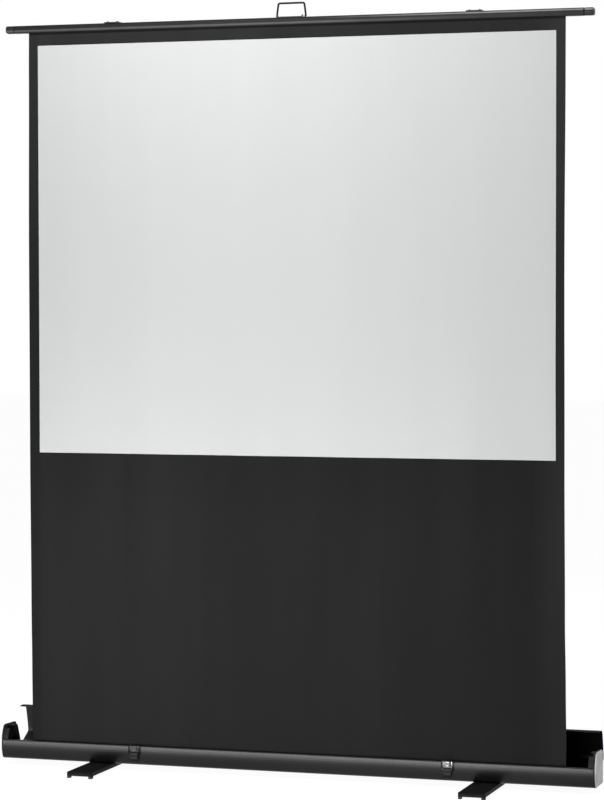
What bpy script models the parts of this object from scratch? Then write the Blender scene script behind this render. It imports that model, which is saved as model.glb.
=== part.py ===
"""Pull up projection screen, raised, with its case lid folded back.

A floor case of extruded aluminium stands on two swivelling channel feet. A sprung roller
in the case carries the fabric, and two jointed arms behind it push the top bar up.
Metres, +Z up. The viewer is at -Y, X runs along the case, and the floor is Z = 0.
"""

import math

import bmesh
import bpy
from mathutils import Matrix, Vector

# Picture area and fabric
PICTURE_WIDTH = 1.600
PICTURE_HEIGHT = 1.230
PICTURE_BOTTOM = 0.957
FABRIC_HALF_WIDTH = 0.8285
FABRIC_THICKNESS = 0.0008
FABRIC_Y = -0.035
FABRIC_TOP = 2.2295
SEAM = 0.0003

# Gaps between pieces that touch, and between a pin and its hole
GAP = 0.0003

# Extruded case: a bowed front wall, a flat floor and a low rear wall
CASE_HALF_LENGTH = 0.917
WALL = 0.002
CASE_BOTTOM = 0.0188
BOW_CENTRE = (0.049, 0.064)
BOW_RADIUS = 0.104
FRONT_WALL_TOP = 0.0782
FRONT_LIP_END = -0.0475
FLOOR_FRONT_RADIUS = 0.014
FLOOR_REAR_RADIUS = 0.007
REAR_FACE_Y = 0.049
CASE_TOP = 0.1215
SHOULDER_RADIUS = 0.020
SCREW_PORTS = (((-0.0421, 0.0273), 45, 0.0036), ((-0.0497, 0.0728), -45, 0.0032))

# Lid and its bead hinge
HINGE = (0.062, 0.0432)
BEAD_RADIUS = 0.003
SOCKET_RADIUS = 0.0044
SOCKET_FROM = 2
SOCKET_TO = 128
LID_HALF_LENGTH = 0.9105
LID_FRONT_Z = 0.0795
LID_REAR_EDGE = (0.0485, 0.1125)
LID_REAR_RADIUS = 0.009
LID_TOP_RADIUS = 0.4156
LID_OPEN_ANGLE = 72

# End caps
CAP_FLANGE = (0.9173, 0.9210)
CAP_RIM = 0.9015
CAP_SHELF_Z = 0.1045
END_PLATE = (0.9213, 0.9250)

# Roller and the spring inside it
ROLLER_AXIS = (-0.020, 0.0525)
ROLLER_RADIUS = 0.0143
ROLLER_WALL = 0.0012
ROLLER_HALF_LENGTH = 0.889
AXLE_RADIUS = 0.004
AXLE_END = 0.9085
SPRING_RADIUS = 0.0075
SPRING_WIRE = 0.0009
SPRING_TURNS = 12
SPRING_FROM = -0.850
SPRING_TO = -0.560

# Lifting arms: one knee on each side, folding past the other side's pivot
PIVOT_X = 0.559
BASE_PIVOT_Z = 0.0425
BAR_PIVOT_Z = 2.2165
ARM_LENGTH = 1.160
ARM_HALF_WIDTH = 0.010
ARM_THICKNESS = 0.007
ARM_PITCH = 0.0094
ARM_FIRST_Y = 0.004
ARM_HOLE = 0.0043
PIN_RADIUS = 0.004
PIN_HEAD_RADIUS = 0.006
PIN_HEAD = 0.0017
GROOVE_WIDTH = 0.010
GROOVE_DEPTH = 0.0016
CHEEK = 0.003

# Top bar
BAR_SHIFT = 0.0035
BAR_HALF_LENGTH = 0.8765
BAR_Y = (-0.039, -0.012)
BAR_Z = (2.2245, 2.2470)
BAR_WALL = 0.0018
BAR_SLOT = 0.0016
BAR_CAP_END = 0.9065
BRACKET_HALF_LENGTH = 0.024
HANDLE_PIVOT_Z = 2.2512
HANDLE_TOP = 2.2915
HANDLE_WIRE = 0.0018

# Feet: channels that swivel under the case
FOOT_X = 0.5995
FOOT_HALF_WIDTH = 0.040
FOOT_HALF_LENGTH = 0.2195
FOOT_TOP = 0.0180
FOOT_EDGE = 0.0070
FOOT_END_RADIUS = 0.010
FOOT_CORNER = 0.006
PAD_WIDTH = 0.010
PAD_LENGTH = 0.016

# Draw latches on the front wall
LATCH_X = 0.487
LATCH_PIVOT = (-0.0600, 0.0560)
LATCH_LINK = (-0.0600, 0.0500)
LATCH_PLATE_HALF = 0.018
LATCH_PLATE_Z = (0.0560, 0.0770)
LEVER_HALF = 0.012
LOOP_HALF = 0.0168
LOOP_TOP = 0.0812


def clear_scene():
    for thing in list(bpy.data.objects):
        bpy.data.objects.remove(thing, do_unlink=True)


def material(name, colour, metallic, roughness):
    made = bpy.data.materials.new(name)
    made.use_nodes = True
    shader = made.node_tree.nodes["Principled BSDF"]
    shader.inputs["Base Color"].default_value = (*colour, 1.0)
    shader.inputs["Metallic"].default_value = metallic
    shader.inputs["Roughness"].default_value = roughness
    return made


def arc(centre, radius, start, end, step=15.0):
    """Points on an arc from the start to the end angle, in degrees, both included."""
    count = max(1, math.ceil(abs(end - start) / step - 1e-6))
    angles = [math.radians(start + (end - start) * i / count) for i in range(count + 1)]
    return [
        (centre[0] + radius * math.cos(a), centre[1] + radius * math.sin(a)) for a in angles
    ]


def without_repeats(points):
    kept = [points[0]]
    for point in points[1:]:
        if math.dist(point, kept[-1]) > 1e-6:
            kept.append(point)
    return kept


def offset(path, distance, closed=False):
    """The path moved to its left by a distance, with mitred corners."""
    moved = []
    last = len(path) - 1
    for i, point in enumerate(path):
        before = path[i - 1] if i > 0 or closed else None
        after = path[(i + 1) % len(path)] if i < last or closed else None
        ways = []
        for a, b in ((before, point), (point, after)):
            if a is not None and b is not None:
                ways.append(Vector((b[0] - a[0], b[1] - a[1])).normalized())
        normals = [Vector((-way.y, way.x)) for way in ways]
        mean = sum(normals, Vector((0.0, 0.0))).normalized()
        reach = distance / max(0.3, mean.dot(normals[0]))
        moved.append((point[0] + mean.x * reach, point[1] + mean.y * reach))
    return moved


def ribbon(centreline, thickness):
    """The closed outline of a wall of even thickness along an open centreline."""
    line = without_repeats(centreline)
    return offset(line, thickness / 2) + offset(line, -thickness / 2)[::-1]


def rounded(points, radii, closed=True, step=18.0):
    """A polygon, or an open path, whose corners are arcs of the given radii."""
    result = []
    last = len(points) - 1
    for i, corner in enumerate(points):
        radius = radii[i] if isinstance(radii, (list, tuple)) else radii
        if radius == 0 or (not closed and i in (0, last)):
            result.append(tuple(corner))
            continue
        here = Vector(corner)
        back = (Vector(points[i - 1]) - here).normalized()
        ahead = (Vector(points[(i + 1) % len(points)]) - here).normalized()
        half = back.angle(ahead) / 2
        centre = here + (back + ahead).normalized() * radius / math.sin(half)
        first = here + back * radius / math.tan(half) - centre
        final = here + ahead * radius / math.tan(half) - centre
        start = math.degrees(math.atan2(first.y, first.x))
        turn = math.degrees(math.atan2(final.y, final.x)) - start
        turn = (turn + 180) % 360 - 180
        result += arc(centre, radius, start, start + turn, step)
    return result


def stadium(first, second, radius, step=22.5):
    """The outline of a bar with round ends at two centres."""
    angle = math.degrees(math.atan2(second[1] - first[1], second[0] - first[0]))
    near = arc(first, radius, angle + 90, angle + 270, step)
    far = arc(second, radius, angle - 90, angle + 90, step)
    return near + far


def circle(centre, radius, sides=24):
    return arc(centre, radius, 0, 360, 360 / sides)[:-1]


def place(axis, u, v, along):
    """A point of an outline, put at a distance along the axis that it is drawn across."""
    return {"X": (along, u, v), "Y": (u, along, v), "Z": (u, v, along)}[axis]


def add_object(name, data, finish):
    made = bpy.data.objects.new(name, data)
    bpy.context.scene.collection.objects.link(made)
    if finish is not None:
        data.materials.append(finish)
    return made


def loft(name, rings, axis, finish=None, ring_closed=False):
    """A solid through outlines of equal counts, each with its place along the axis."""
    mesh = bmesh.new()
    rows = [[mesh.verts.new(place(axis, u, v, along)) for u, v in line] for along, line in rings]
    count = len(rows[0])
    pairs = list(zip(rows, rows[1:]))
    if ring_closed:
        pairs.append((rows[-1], rows[0]))
    for low, high in pairs:
        for i in range(count):
            j = (i + 1) % count
            mesh.faces.new((low[i], low[j], high[j], high[i]))
    if not ring_closed:
        mesh.faces.new(rows[0][::-1])
        mesh.faces.new(rows[-1])
    bmesh.ops.recalc_face_normals(mesh, faces=mesh.faces)
    data = bpy.data.meshes.new(name)
    mesh.to_mesh(data)
    mesh.free()
    return add_object(name, data, finish)


def prism(name, outline, low, high, axis, finish=None):
    return loft(name, [(low, outline), (high, outline)], axis, finish)


def box(name, low, high, finish=None):
    outline = [(low[0], low[1]), (high[0], low[1]), (high[0], high[1]), (low[0], high[1])]
    return prism(name, outline, low[2], high[2], "Z", finish)


def turned(name, profile, centre, axis, finish=None, sides=24, bored=False):
    """A turned piece: the profile lists places along the axis with their radii."""
    rings = [(along, circle(centre, radius, sides)) for along, radius in profile]
    return loft(name, rings, axis, finish, ring_closed=bored)


def wire(name, points, radius, finish, resolution=2):
    curve = bpy.data.curves.new(name, "CURVE")
    curve.dimensions = "3D"
    curve.bevel_depth = radius
    curve.bevel_resolution = resolution
    curve.use_fill_caps = True
    spline = curve.splines.new("POLY")
    spline.points.add(len(points) - 1)
    for point, place_at in zip(spline.points, points):
        point.co = (*place_at, 1.0)
    return add_object(name, curve, finish)


def combine(body, operation, *tools):
    """Cuts tools from a body, or joins them to it, and leaves one plain mesh."""
    for tool in tools:
        step = body.modifiers.new(tool.name, "BOOLEAN")
        step.operation = operation
        step.solver = "EXACT"
        step.object = tool
        graph = bpy.context.evaluated_depsgraph_get()
        shaped = bpy.data.meshes.new_from_object(body.evaluated_get(graph))
        body.modifiers.clear()
        body.data = shaped
        bpy.data.objects.remove(tool, do_unlink=True)
    return body


def cut(body, *tools):
    return combine(body, "DIFFERENCE", *tools)


def join(body, *tools):
    return combine(body, "UNION", *tools)


def mirrored(body, name):
    """A copy of a piece on the other side of the middle plane."""
    data = body.data.copy()
    data.transform(Matrix.Scale(-1, 4, (1, 0, 0)))
    data.flip_normals()
    copy = bpy.data.objects.new(name, data)
    bpy.context.scene.collection.objects.link(copy)
    return copy


def turn_about_x(body, pivot, degrees):
    centre = Vector((0.0, *pivot))
    turn = Matrix.Rotation(math.radians(degrees), 4, "X")
    body.data.transform(Matrix.Translation(centre) @ turn @ Matrix.Translation(-centre))


def arm_plane(index):
    """The front and rear face of one of the four planes that the arms move in."""
    front = ARM_FIRST_Y + index * ARM_PITCH
    return front, front + ARM_THICKNESS


# Finishes
ALUMINIUM = material("satin_grey_aluminium", (0.055, 0.055, 0.060), 0.9, 0.36)
BLACK_METAL = material("black_painted_steel", (0.012, 0.012, 0.013), 0.0, 0.42)
BLACK_PLASTIC = material("black_moulded_plastic", (0.014, 0.014, 0.015), 0.0, 0.52)
GREY_PLASTIC = material("light_grey_plastic", (0.46, 0.46, 0.47), 0.0, 0.45)
CHROME = material("polished_steel", (0.62, 0.62, 0.64), 1.0, 0.15)
STEEL = material("zinc_plated_steel", (0.42, 0.42, 0.44), 1.0, 0.35)
BLACK_ALUMINIUM = material("black_anodised_aluminium", (0.020, 0.020, 0.022), 0.7, 0.40)
WHITE_FABRIC = material("matt_white_fabric", (0.76, 0.76, 0.77), 0.0, 0.85)
BLACK_FABRIC = material("black_fabric", (0.024, 0.024, 0.026), 0.0, 0.80)
RUBBER = material("black_rubber", (0.018, 0.018, 0.018), 0.0, 0.75)


def bow_point(z, inset=0.0):
    """A point of the bowed front wall at a height, moved inwards by the inset."""
    radius = BOW_RADIUS - inset
    rise = z - BOW_CENTRE[1]
    return (BOW_CENTRE[0] - math.sqrt(radius**2 - rise**2), z)


def inner_fillet(z_line, radius, inset):
    """The centre of the arc that joins the bow to a level line, and where it meets the bow."""
    below = z_line < BOW_CENTRE[1]
    centre_z = z_line + radius if below else z_line - radius
    reach = BOW_RADIUS - inset - radius
    rise = centre_z - BOW_CENTRE[1]
    centre = (BOW_CENTRE[0] - math.sqrt(reach**2 - rise**2), centre_z)
    meets = 180 - math.degrees(math.asin(rise / reach))
    return centre, meets


def bow_angle(z, inset):
    return 180 - math.degrees(math.asin((z - BOW_CENTRE[1]) / (BOW_RADIUS - inset)))


def case_base():
    """Base extrusion: lip, bowed front, floor, rear wall and the socket of the lid's hinge."""
    half = WALL / 2
    lip_z = FRONT_WALL_TOP - half
    lip_radius = 0.0025
    front_y = bow_point(lip_z - lip_radius, half)[0]
    floor_centre, floor_meets = inner_fillet(CASE_BOTTOM + half, FLOOR_FRONT_RADIUS - half, half)
    rear_radius = FLOOR_REAR_RADIUS - half
    rear_centre = (REAR_FACE_Y - half - rear_radius, CASE_BOTTOM + half + rear_radius)
    into_socket = math.radians(225)
    socket_bed = SOCKET_RADIUS - half / 2
    wall_end = (
        HINGE[0] + socket_bed * math.cos(into_socket),
        HINGE[1] + socket_bed * math.sin(into_socket),
    )
    line = [(FRONT_LIP_END, lip_z)]
    line += arc((front_y + lip_radius, lip_z - lip_radius), lip_radius, 90, 180, 30)
    wall_top = lip_z - lip_radius - 0.0015
    line += arc(BOW_CENTRE, BOW_RADIUS - half, bow_angle(wall_top, half), floor_meets, 3.4)
    line += arc(floor_centre, FLOOR_FRONT_RADIUS - half, floor_meets, 270, 14)
    line += arc(rear_centre, rear_radius, 270, 360, 18)
    line.append(wall_end)
    ends = (-CASE_HALF_LENGTH, CASE_HALF_LENGTH)
    body = prism("case_base", ribbon(line, WALL), *ends, "X", ALUMINIUM)
    socket = ribbon(arc(HINGE, SOCKET_RADIUS, SOCKET_TO, 360 + SOCKET_FROM, 18), WALL)
    join(body, prism("socket", socket, *ends, "X"))
    for centre, mouth, radius in SCREW_PORTS:
        ring = arc(centre, radius - 0.0008, mouth + 32, mouth + 328, 30)
        join(body, prism("port", ribbon(ring, 0.0016), *ends, "X"))
    for side in (-1, 1):
        hole = circle((side * FOOT_X, 0.0), PIN_RADIUS + GAP, 20)
        cut(body, prism("hole", hole, CASE_BOTTOM - 0.002, CASE_BOTTOM + 0.005, "Z"))
    return body


def lid_line():
    """Centreline of the lid's wall as it lies closed, from its front edge to its bead."""
    half = WALL / 2
    shoulder, meets = inner_fillet(CASE_TOP - half, SHOULDER_RADIUS - half, half)
    crown = (shoulder[0], CASE_TOP - half - LID_TOP_RADIUS)
    rear_y = LID_REAR_EDGE[0] - LID_REAR_RADIUS
    fall = math.degrees(math.asin((rear_y - 0.002 - crown[0]) / LID_TOP_RADIUS))
    top = arc(crown, LID_TOP_RADIUS, 90, 90 - fall, 2.0)
    line = arc(BOW_CENTRE, BOW_RADIUS - half, bow_angle(LID_FRONT_Z, half), meets, 3.4)
    line += arc(shoulder, SHOULDER_RADIUS - half, meets, 90, 11)
    corner = rounded([top[-1], LID_REAR_EDGE, HINGE], LID_REAR_RADIUS, closed=False)
    return line + top + corner


def lid():
    """Lid extrusion, folded back on the bead that runs along its rear edge."""
    ends = (-LID_HALF_LENGTH, LID_HALF_LENGTH)
    body = prism("lid", ribbon(lid_line(), WALL), *ends, "X", ALUMINIUM)
    join(body, prism("bead", circle(HINGE, BEAD_RADIUS, 20), *ends, "X"))
    turn_about_x(body, HINGE, -LID_OPEN_ANGLE)
    return body


def lid_keeper(name, x):
    """Catch plate on the lid's front edge, with a hook for the loop of a latch."""
    stand = -(GAP + 0.0008)
    foot = bow_point(LOOP_TOP - 0.0019, stand)
    head = bow_point(LOOP_TOP + 0.0109, stand)
    hook = [(foot[0] - 0.0056, foot[1] - 0.0004), (foot[0] - 0.0060, foot[1] + 0.0050)]
    line = rounded([head, foot, *hook], 0.0012, closed=False, step=30)
    body = prism(name, ribbon(line, 0.0014), x - 0.014, x + 0.014, "X", CHROME)
    turn_about_x(body, HINGE, -LID_OPEN_ANGLE)
    return body


def case_outline():
    """Outer outline of the closed case, seen along X: what the end caps cover."""
    floor_centre, floor_meets = inner_fillet(CASE_BOTTOM, FLOOR_FRONT_RADIUS, 0.0)
    shoulder, shoulder_meets = inner_fillet(CASE_TOP, SHOULDER_RADIUS, 0.0)
    rear = [(REAR_FACE_Y, CASE_TOP - 0.0022), (REAR_FACE_Y, CASE_BOTTOM)]
    rear_path = [(0.0, CASE_TOP - 0.0008), *rear, (0.0, CASE_BOTTOM)]
    corners = [0, 0.011, FLOOR_REAR_RADIUS, 0]
    line = arc(floor_centre, FLOOR_FRONT_RADIUS, 270, floor_meets, 14)
    line += arc(BOW_CENTRE, BOW_RADIUS, floor_meets, shoulder_meets, 4.5)
    line += arc(shoulder, SHOULDER_RADIUS, shoulder_meets, 90, 11)
    line += rounded(rear_path, corners, closed=False, step=18)
    return without_repeats(line)


def cup_outline():
    """Outline of the cap's plug: inside the base's walls and, above them, inside the lid."""
    over_lip = FRONT_WALL_TOP + 0.0006
    front = [bow_point(over_lip + 0.028 * i / 4, 0.0035) for i in range(5)]
    foot = [(-0.0315, 0.0218), (-0.0455, 0.0403), (-0.0455, over_lip)]
    rear = [(0.0215, 0.1150), (0.0440, 0.0620), (0.0455, 0.0218)]
    points = [*foot, *front, (-0.0330, 0.1170), (0.0, 0.1170), *rear]
    radii = [0.004, 0.003, 0, *[0] * 5, 0.010, 0, 0.007, 0.012, 0.007]
    return rounded(points, radii, step=30)


def end_cap(name):
    """Moulded cap: a flange over the case's end and a ribbed cup inside it."""
    flange_in, flange_out = CAP_FLANGE
    body = prism(name, case_outline(), flange_in, flange_out, "X", BLACK_PLASTIC)
    plug = cup_outline()
    cup = prism("cup", plug, CAP_RIM, flange_in + 0.001, "X")
    cut(cup, prism("hollow", offset(plug, -WALL, True), CAP_RIM - 0.001, flange_in, "X"))
    over_shelf = (CAP_RIM - 0.001, -0.060, CAP_SHELF_Z + 0.001)
    cut(cup, box("step", over_shelf, (CAP_RIM + 0.0045, -0.0400, 0.13)))
    cut(cup, box("notch", (CAP_RIM - 0.001, -0.0390, 0.095), (CAP_RIM + 0.012, -0.0085, 0.13)))
    join(body, cup)
    boss = turned("boss", [(CAP_RIM - 0.008, 0.009), (flange_in + 0.001, 0.009)], ROLLER_AXIS,
                  "X")
    rib_ends = ((0.0262, 0.1010), (0.0437, 0.0600), (-0.0472, 0.0880))
    for end in rib_ends:
        rib = ribbon([ROLLER_AXIS, end], 0.002)
        join(body, prism("rib", rib, flange_in - 0.0035, flange_in + 0.001, "X"))
    join(body, boss)
    bore = circle(ROLLER_AXIS, AXLE_RADIUS + GAP, 20)
    cut(body, prism("bore", bore, CAP_RIM - 0.02, flange_in - 0.0013, "X"))
    shelf_line = [bow_point(CAP_SHELF_Z, 0.0026), (-0.0400, CAP_SHELF_Z)]
    join(body, prism("shelf", ribbon(shelf_line, 0.002), CAP_RIM, flange_in + 0.001, "X"))
    return body


def end_plate(name):
    """Trim plate on the outside of a cap, with a bevelled edge."""
    low, high = END_PLATE
    outline = case_outline()
    rings = [(low, 0.0015), (high - 0.0017, 0.0015), (high - 0.0004, 0.0026), (high, 0.0040)]
    edge = [(along, offset(outline, -inset, True)) for along, inset in rings]
    return loft(name, edge, "X", GREY_PLASTIC)


def roller():
    """Roller tube with a plug at each end, turning on a stub axle and on the spring's shaft."""
    inner = ROLLER_RADIUS - ROLLER_WALL
    ends = (-ROLLER_HALF_LENGTH, ROLLER_HALF_LENGTH)
    tube = [(ends[0], ROLLER_RADIUS), (ends[1], ROLLER_RADIUS), (ends[1], inner), (ends[0], inner)]
    turned("roller_tube", tube, ROLLER_AXIS, "X", ALUMINIUM, 32, bored=True)
    body = inner - GAP
    rim = ROLLER_HALF_LENGTH + 0.0022
    right = [
        (ROLLER_HALF_LENGTH - 0.023, body),
        (ROLLER_HALF_LENGTH + GAP, body),
        (ROLLER_HALF_LENGTH + GAP, ROLLER_RADIUS),
        (rim, ROLLER_RADIUS),
        (rim, AXLE_RADIUS),
        (AXLE_END, AXLE_RADIUS),
    ]
    turned("roller_plug_right", right, ROLLER_AXIS, "X", BLACK_PLASTIC)
    shaft = 0.0033
    left = [
        (-rim, shaft + GAP),
        (-rim, ROLLER_RADIUS),
        (-ROLLER_HALF_LENGTH - GAP, ROLLER_RADIUS),
        (-ROLLER_HALF_LENGTH - GAP, body),
        (-0.866, body),
        (-0.866, SPRING_RADIUS - SPRING_WIRE - GAP),
        (SPRING_FROM + 0.004, SPRING_RADIUS - SPRING_WIRE - GAP),
        (SPRING_FROM + 0.004, shaft + GAP),
    ]
    turned("roller_plug_left", left, ROLLER_AXIS, "X", BLACK_PLASTIC, bored=True)
    collar = SPRING_RADIUS - SPRING_WIRE - GAP
    rod = [
        (-AXLE_END, AXLE_RADIUS),
        (-rim - 0.0013, AXLE_RADIUS),
        (-rim - 0.0013, shaft),
        (SPRING_TO - 0.004, shaft),
        (SPRING_TO - 0.004, collar),
        (SPRING_TO + 0.006, collar),
    ]
    turned("spring_shaft", rod, ROLLER_AXIS, "X", STEEL, 20)
    steps = SPRING_TURNS * 10
    coil = []
    for i in range(steps + 1):
        angle = math.tau * i / 10
        x = SPRING_FROM + (SPRING_TO - SPRING_FROM) * i / steps
        y = ROLLER_AXIS[0] + SPRING_RADIUS * math.cos(angle)
        coil.append((x, y, ROLLER_AXIS[1] + SPRING_RADIUS * math.sin(angle)))
    wire("roller_spring", coil, SPRING_WIRE, STEEL, 0)


def fabric():
    """Black fabric from the roller to the bar, with the white picture area set into it."""
    wrap = ROLLER_RADIUS + GAP + FABRIC_THICKNESS / 2
    line = [(FABRIC_Y, FABRIC_TOP), (FABRIC_Y, ROLLER_AXIS[1])]
    line += arc(ROLLER_AXIS, wrap, 180, 250, 10)[1:]
    ends = (-FABRIC_HALF_WIDTH, FABRIC_HALF_WIDTH)
    outline = ribbon(line, FABRIC_THICKNESS)
    black = prism("black_masking", outline, *ends, "X", BLACK_FABRIC)
    half = PICTURE_WIDTH / 2
    top = PICTURE_BOTTOM + PICTURE_HEIGHT
    low = (-half - SEAM, FABRIC_Y - 0.01, PICTURE_BOTTOM - SEAM)
    cut(black, box("window", low, (half + SEAM, FABRIC_Y + 0.01, top + SEAM)))
    front = FABRIC_Y - FABRIC_THICKNESS / 2
    corner = (half, front + FABRIC_THICKNESS, top)
    box("projection_surface", (-half, front, PICTURE_BOTTOM), corner, WHITE_FABRIC)
    rod = circle((FABRIC_Y, FABRIC_TOP + 0.0023), 0.0018, 12)
    prism("fabric_rod", rod, *ends, "X", GREY_PLASTIC)


def arm(name, start, end, plane):
    """A flat arm with round ends, a hole at each end and a long groove in each face."""
    front, rear = arm_plane(plane)
    body = prism(name, stadium(start, end, ARM_HALF_WIDTH), front, rear, "Y", BLACK_ALUMINIUM)
    for centre in (start, end):
        cut(body, prism("hole", circle(centre, ARM_HOLE, 20), front - 0.01, rear + 0.01, "Y"))
    way = (Vector(end) - Vector(start)).normalized()
    inner = (Vector(start) + way * 0.045, Vector(end) - way * 0.045)
    groove = stadium(*inner, GROOVE_WIDTH / 2, 30)
    cut(body, prism("front_groove", groove, front - 0.01, front + GROOVE_DEPTH, "Y"))
    cut(body, prism("rear_groove", groove, rear - GROOVE_DEPTH, rear + 0.01, "Y"))
    return body


def pin(name, centre, head_face, tip):
    """A pivot pin with a flat head at one end and a flush end at the other."""
    toward = 1 if tip > head_face else -1
    under = head_face + toward * PIN_HEAD
    profile = [(head_face, PIN_HEAD_RADIUS), (under, PIN_HEAD_RADIUS)]
    profile += [(under, PIN_RADIUS), (tip, PIN_RADIUS)]
    turned(name, sorted(profile, key=lambda p: p[0]) if toward > 0 else profile, centre, "Y",
           STEEL, 20)


def washer(name, centre, low, high):
    profile = [(low, 0.0095), (high, 0.0095), (high, ARM_HOLE), (low, ARM_HOLE)]
    turned(name, profile, centre, "Y", BLACK_PLASTIC, 20, bored=True)


def cheek(name, pivot, base_z, front, radius=0.009, half_base=0.013):
    """A flat ear that rises from a level edge to a round end about a pivot."""
    x, z = pivot
    down = base_z < z
    round_end = arc(pivot, radius, -10, 190, 25) if down else arc(pivot, radius, 170, 370, 25)
    edge = [(x - half_base, base_z), (x + half_base, base_z)]
    outline = edge + round_end if down else edge[::-1] + round_end
    return prism(name, outline, front, front + CHEEK, "Y")


def arm_base(name, pivot, front, reach):
    """Bent bracket on the case floor: a flange with two screw holes and an ear for the arm."""
    floor = CASE_BOTTOM + WALL + GAP
    low_y, high_y = sorted((front if reach > 0 else front + CHEEK, front + reach))
    x = pivot[0]
    body = box(name, (x - 0.022, low_y, floor), (x + 0.022, high_y, floor + 0.002), STEEL)
    join(body, cheek("ear", pivot, floor, front))
    cut(body, turned("bore", [(front - 0.01, ARM_HOLE), (front + 0.02, ARM_HOLE)], pivot, "Y",
                     sides=20))
    for side in (-1, 1):
        centre = (x + side * 0.015, (low_y + high_y) / 2)
        sink = [(floor - 0.001, 0.0022), (floor + 0.0005, 0.0022), (floor + 0.0026, 0.0043)]
        cut(body, turned("sink", sink, centre, "Z", sides=16))
    return body


def arms():
    """Two jointed arms in four planes, with their pins, washers and floor brackets."""
    lean = math.asin((BAR_PIVOT_Z - BASE_PIVOT_Z) / 2 / ARM_LENGTH)
    knee_z = (BAR_PIVOT_Z + BASE_PIVOT_Z) / 2
    knee_x = PIVOT_X - ARM_LENGTH * math.cos(lean)
    for side, label, lower, upper in ((-1, "left", 1, 0), (1, "right", 3, 2)):
        base = (side * PIVOT_X, BASE_PIVOT_Z)
        knee = (side * knee_x, knee_z)
        top = (side * PIVOT_X, BAR_PIVOT_Z)
        arm(f"lower_arm_{label}", base, knee, lower)
        arm(f"upper_arm_{label}", knee, top, upper)
        between = arm_plane(upper)[1]
        washer(f"knee_washer_{label}", knee, between + GAP, arm_plane(lower)[0] - GAP)
    left_front = arm_plane(0)[0]
    left_rear = arm_plane(1)[1]
    right_front = arm_plane(2)[0]
    right_rear = arm_plane(3)[1]
    flush = 0.0001
    head = PIN_HEAD + GAP
    left_ear = arm_plane(1)[0] - 0.0005 - CHEEK
    right_ear = right_rear + 0.0005
    left_base = (-PIVOT_X, BASE_PIVOT_Z)
    right_base = (PIVOT_X, BASE_PIVOT_Z)
    arm_base("arm_base_left", left_base, left_ear, 0.031)
    arm_base("arm_base_right", right_base, right_ear, -0.0335)
    pin("base_pin_left", left_base, left_ear - head, left_rear - flush)
    pin("base_pin_right", right_base, right_ear + CHEEK + head, right_front + ARM_PITCH + flush)
    pin("knee_pin_left", (-knee_x, knee_z), left_front - head, left_rear - flush)
    pin("knee_pin_right", (knee_x, knee_z), right_rear + head, right_front + flush)


def bar_line():
    """Centreline of the bar's wall, from one side of the fabric slot round to the other."""
    half = BAR_WALL / 2
    front, rear = BAR_Y[0] + half, BAR_Y[1] - half
    low, high = BAR_Z[0] + half, BAR_Z[1] - half
    middle = (BAR_Y[0] + BAR_Y[1]) / 2
    deep = high - 0.0015
    points = [
        (FABRIC_Y - BAR_SLOT / 2, low),
        (front, low),
        (front, high),
        (middle - 0.0035, high),
        (middle - 0.0020, deep),
        (middle + 0.0020, deep),
        (middle + 0.0035, high),
        (rear, high),
        (rear, low),
        (FABRIC_Y + BAR_SLOT / 2, low),
    ]
    radii = [0, 0.0015, 0.0065, 0, 0, 0, 0, 0.0065, 0.0025, 0]
    return rounded(points, radii, closed=False, step=22.5)


def bar_cap(name, side):
    """Ribbed end plug of the bar, with a stem inside the tube."""
    middle = ((BAR_Y[0] + BAR_Y[1]) / 2, (BAR_Z[0] + BAR_Z[1]) / 2)
    half = ((BAR_Y[1] - BAR_Y[0]) / 2, (BAR_Z[1] - BAR_Z[0]) / 2)
    ribs = 20
    count = ribs * 3

    def section(grow, rib):
        line = []
        for i in range(count):
            angle = math.tau * i / count
            c, s = math.cos(angle), math.sin(angle)
            # A squarish ring of the fourth degree follows the bar's rounded section.
            radius = (abs(c / half[0]) ** 4 + abs(s / half[1]) ** 4) ** -0.25
            radius = radius * 0.965 + grow + (rib if i % 3 == 0 else 0.0)
            line.append((middle[0] + radius * c, middle[1] + radius * s))
        return line

    neck = BAR_HALF_LENGTH + 0.0025
    rings = [
        (neck, section(-0.0006, 0.0)),
        (neck + 0.0012, section(0.0003, 0.0003)),
        (BAR_CAP_END - 0.0045, section(0.0003, 0.0003)),
        (BAR_CAP_END - 0.0012, section(-0.0014, 0.0)),
        (BAR_CAP_END, section(-0.0036, 0.0)),
    ]
    rings = [(side * x + BAR_SHIFT, line) for x, line in rings]
    body = loft(name, rings, "X", BLACK_PLASTIC)
    inset = BAR_WALL + 2 * GAP
    low = (BAR_Y[0] + inset, BAR_Z[0] + inset)
    high = (BAR_Y[1] - inset, BAR_Z[1] - inset - 0.0018)
    corners = [low, (high[0], low[1]), high, (low[0], high[1])]
    stem = (BAR_HALF_LENGTH - 0.018, neck + 0.002)
    reach = sorted(side * x + BAR_SHIFT for x in stem)
    return join(body, prism("stem", rounded(corners, 0.003, step=30), *reach, "X"))


def bar_bracket(name, side, ear_front):
    """Strap over the bar and down behind it, to an ear that carries the end of an arm."""
    sheet = 0.0025
    half = sheet / 2
    top = BAR_Z[1] + GAP + half
    back = BAR_Y[1] + GAP + half
    shelf = BAR_PIVOT_Z + 0.0135
    ear_middle = ear_front + CHEEK / 2
    line = [(BAR_Y[0] + 0.003, top), (back, top), (back, shelf), (ear_middle, shelf)]
    line = rounded(line, 0.0015, closed=False, step=30)
    x = side * PIVOT_X
    ends = (x - BRACKET_HALF_LENGTH, x + BRACKET_HALF_LENGTH)
    body = prism(name, ribbon(line, sheet), *ends, "X", BLACK_METAL)
    pivot = (x, BAR_PIVOT_Z)
    join(body, cheek("ear", pivot, shelf + half, ear_front))
    bore = turned("bore", [(ear_front - 0.01, ARM_HOLE), (ear_front + 0.01, ARM_HOLE)], pivot,
                  "Y", sides=20)
    return cut(body, bore)


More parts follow.
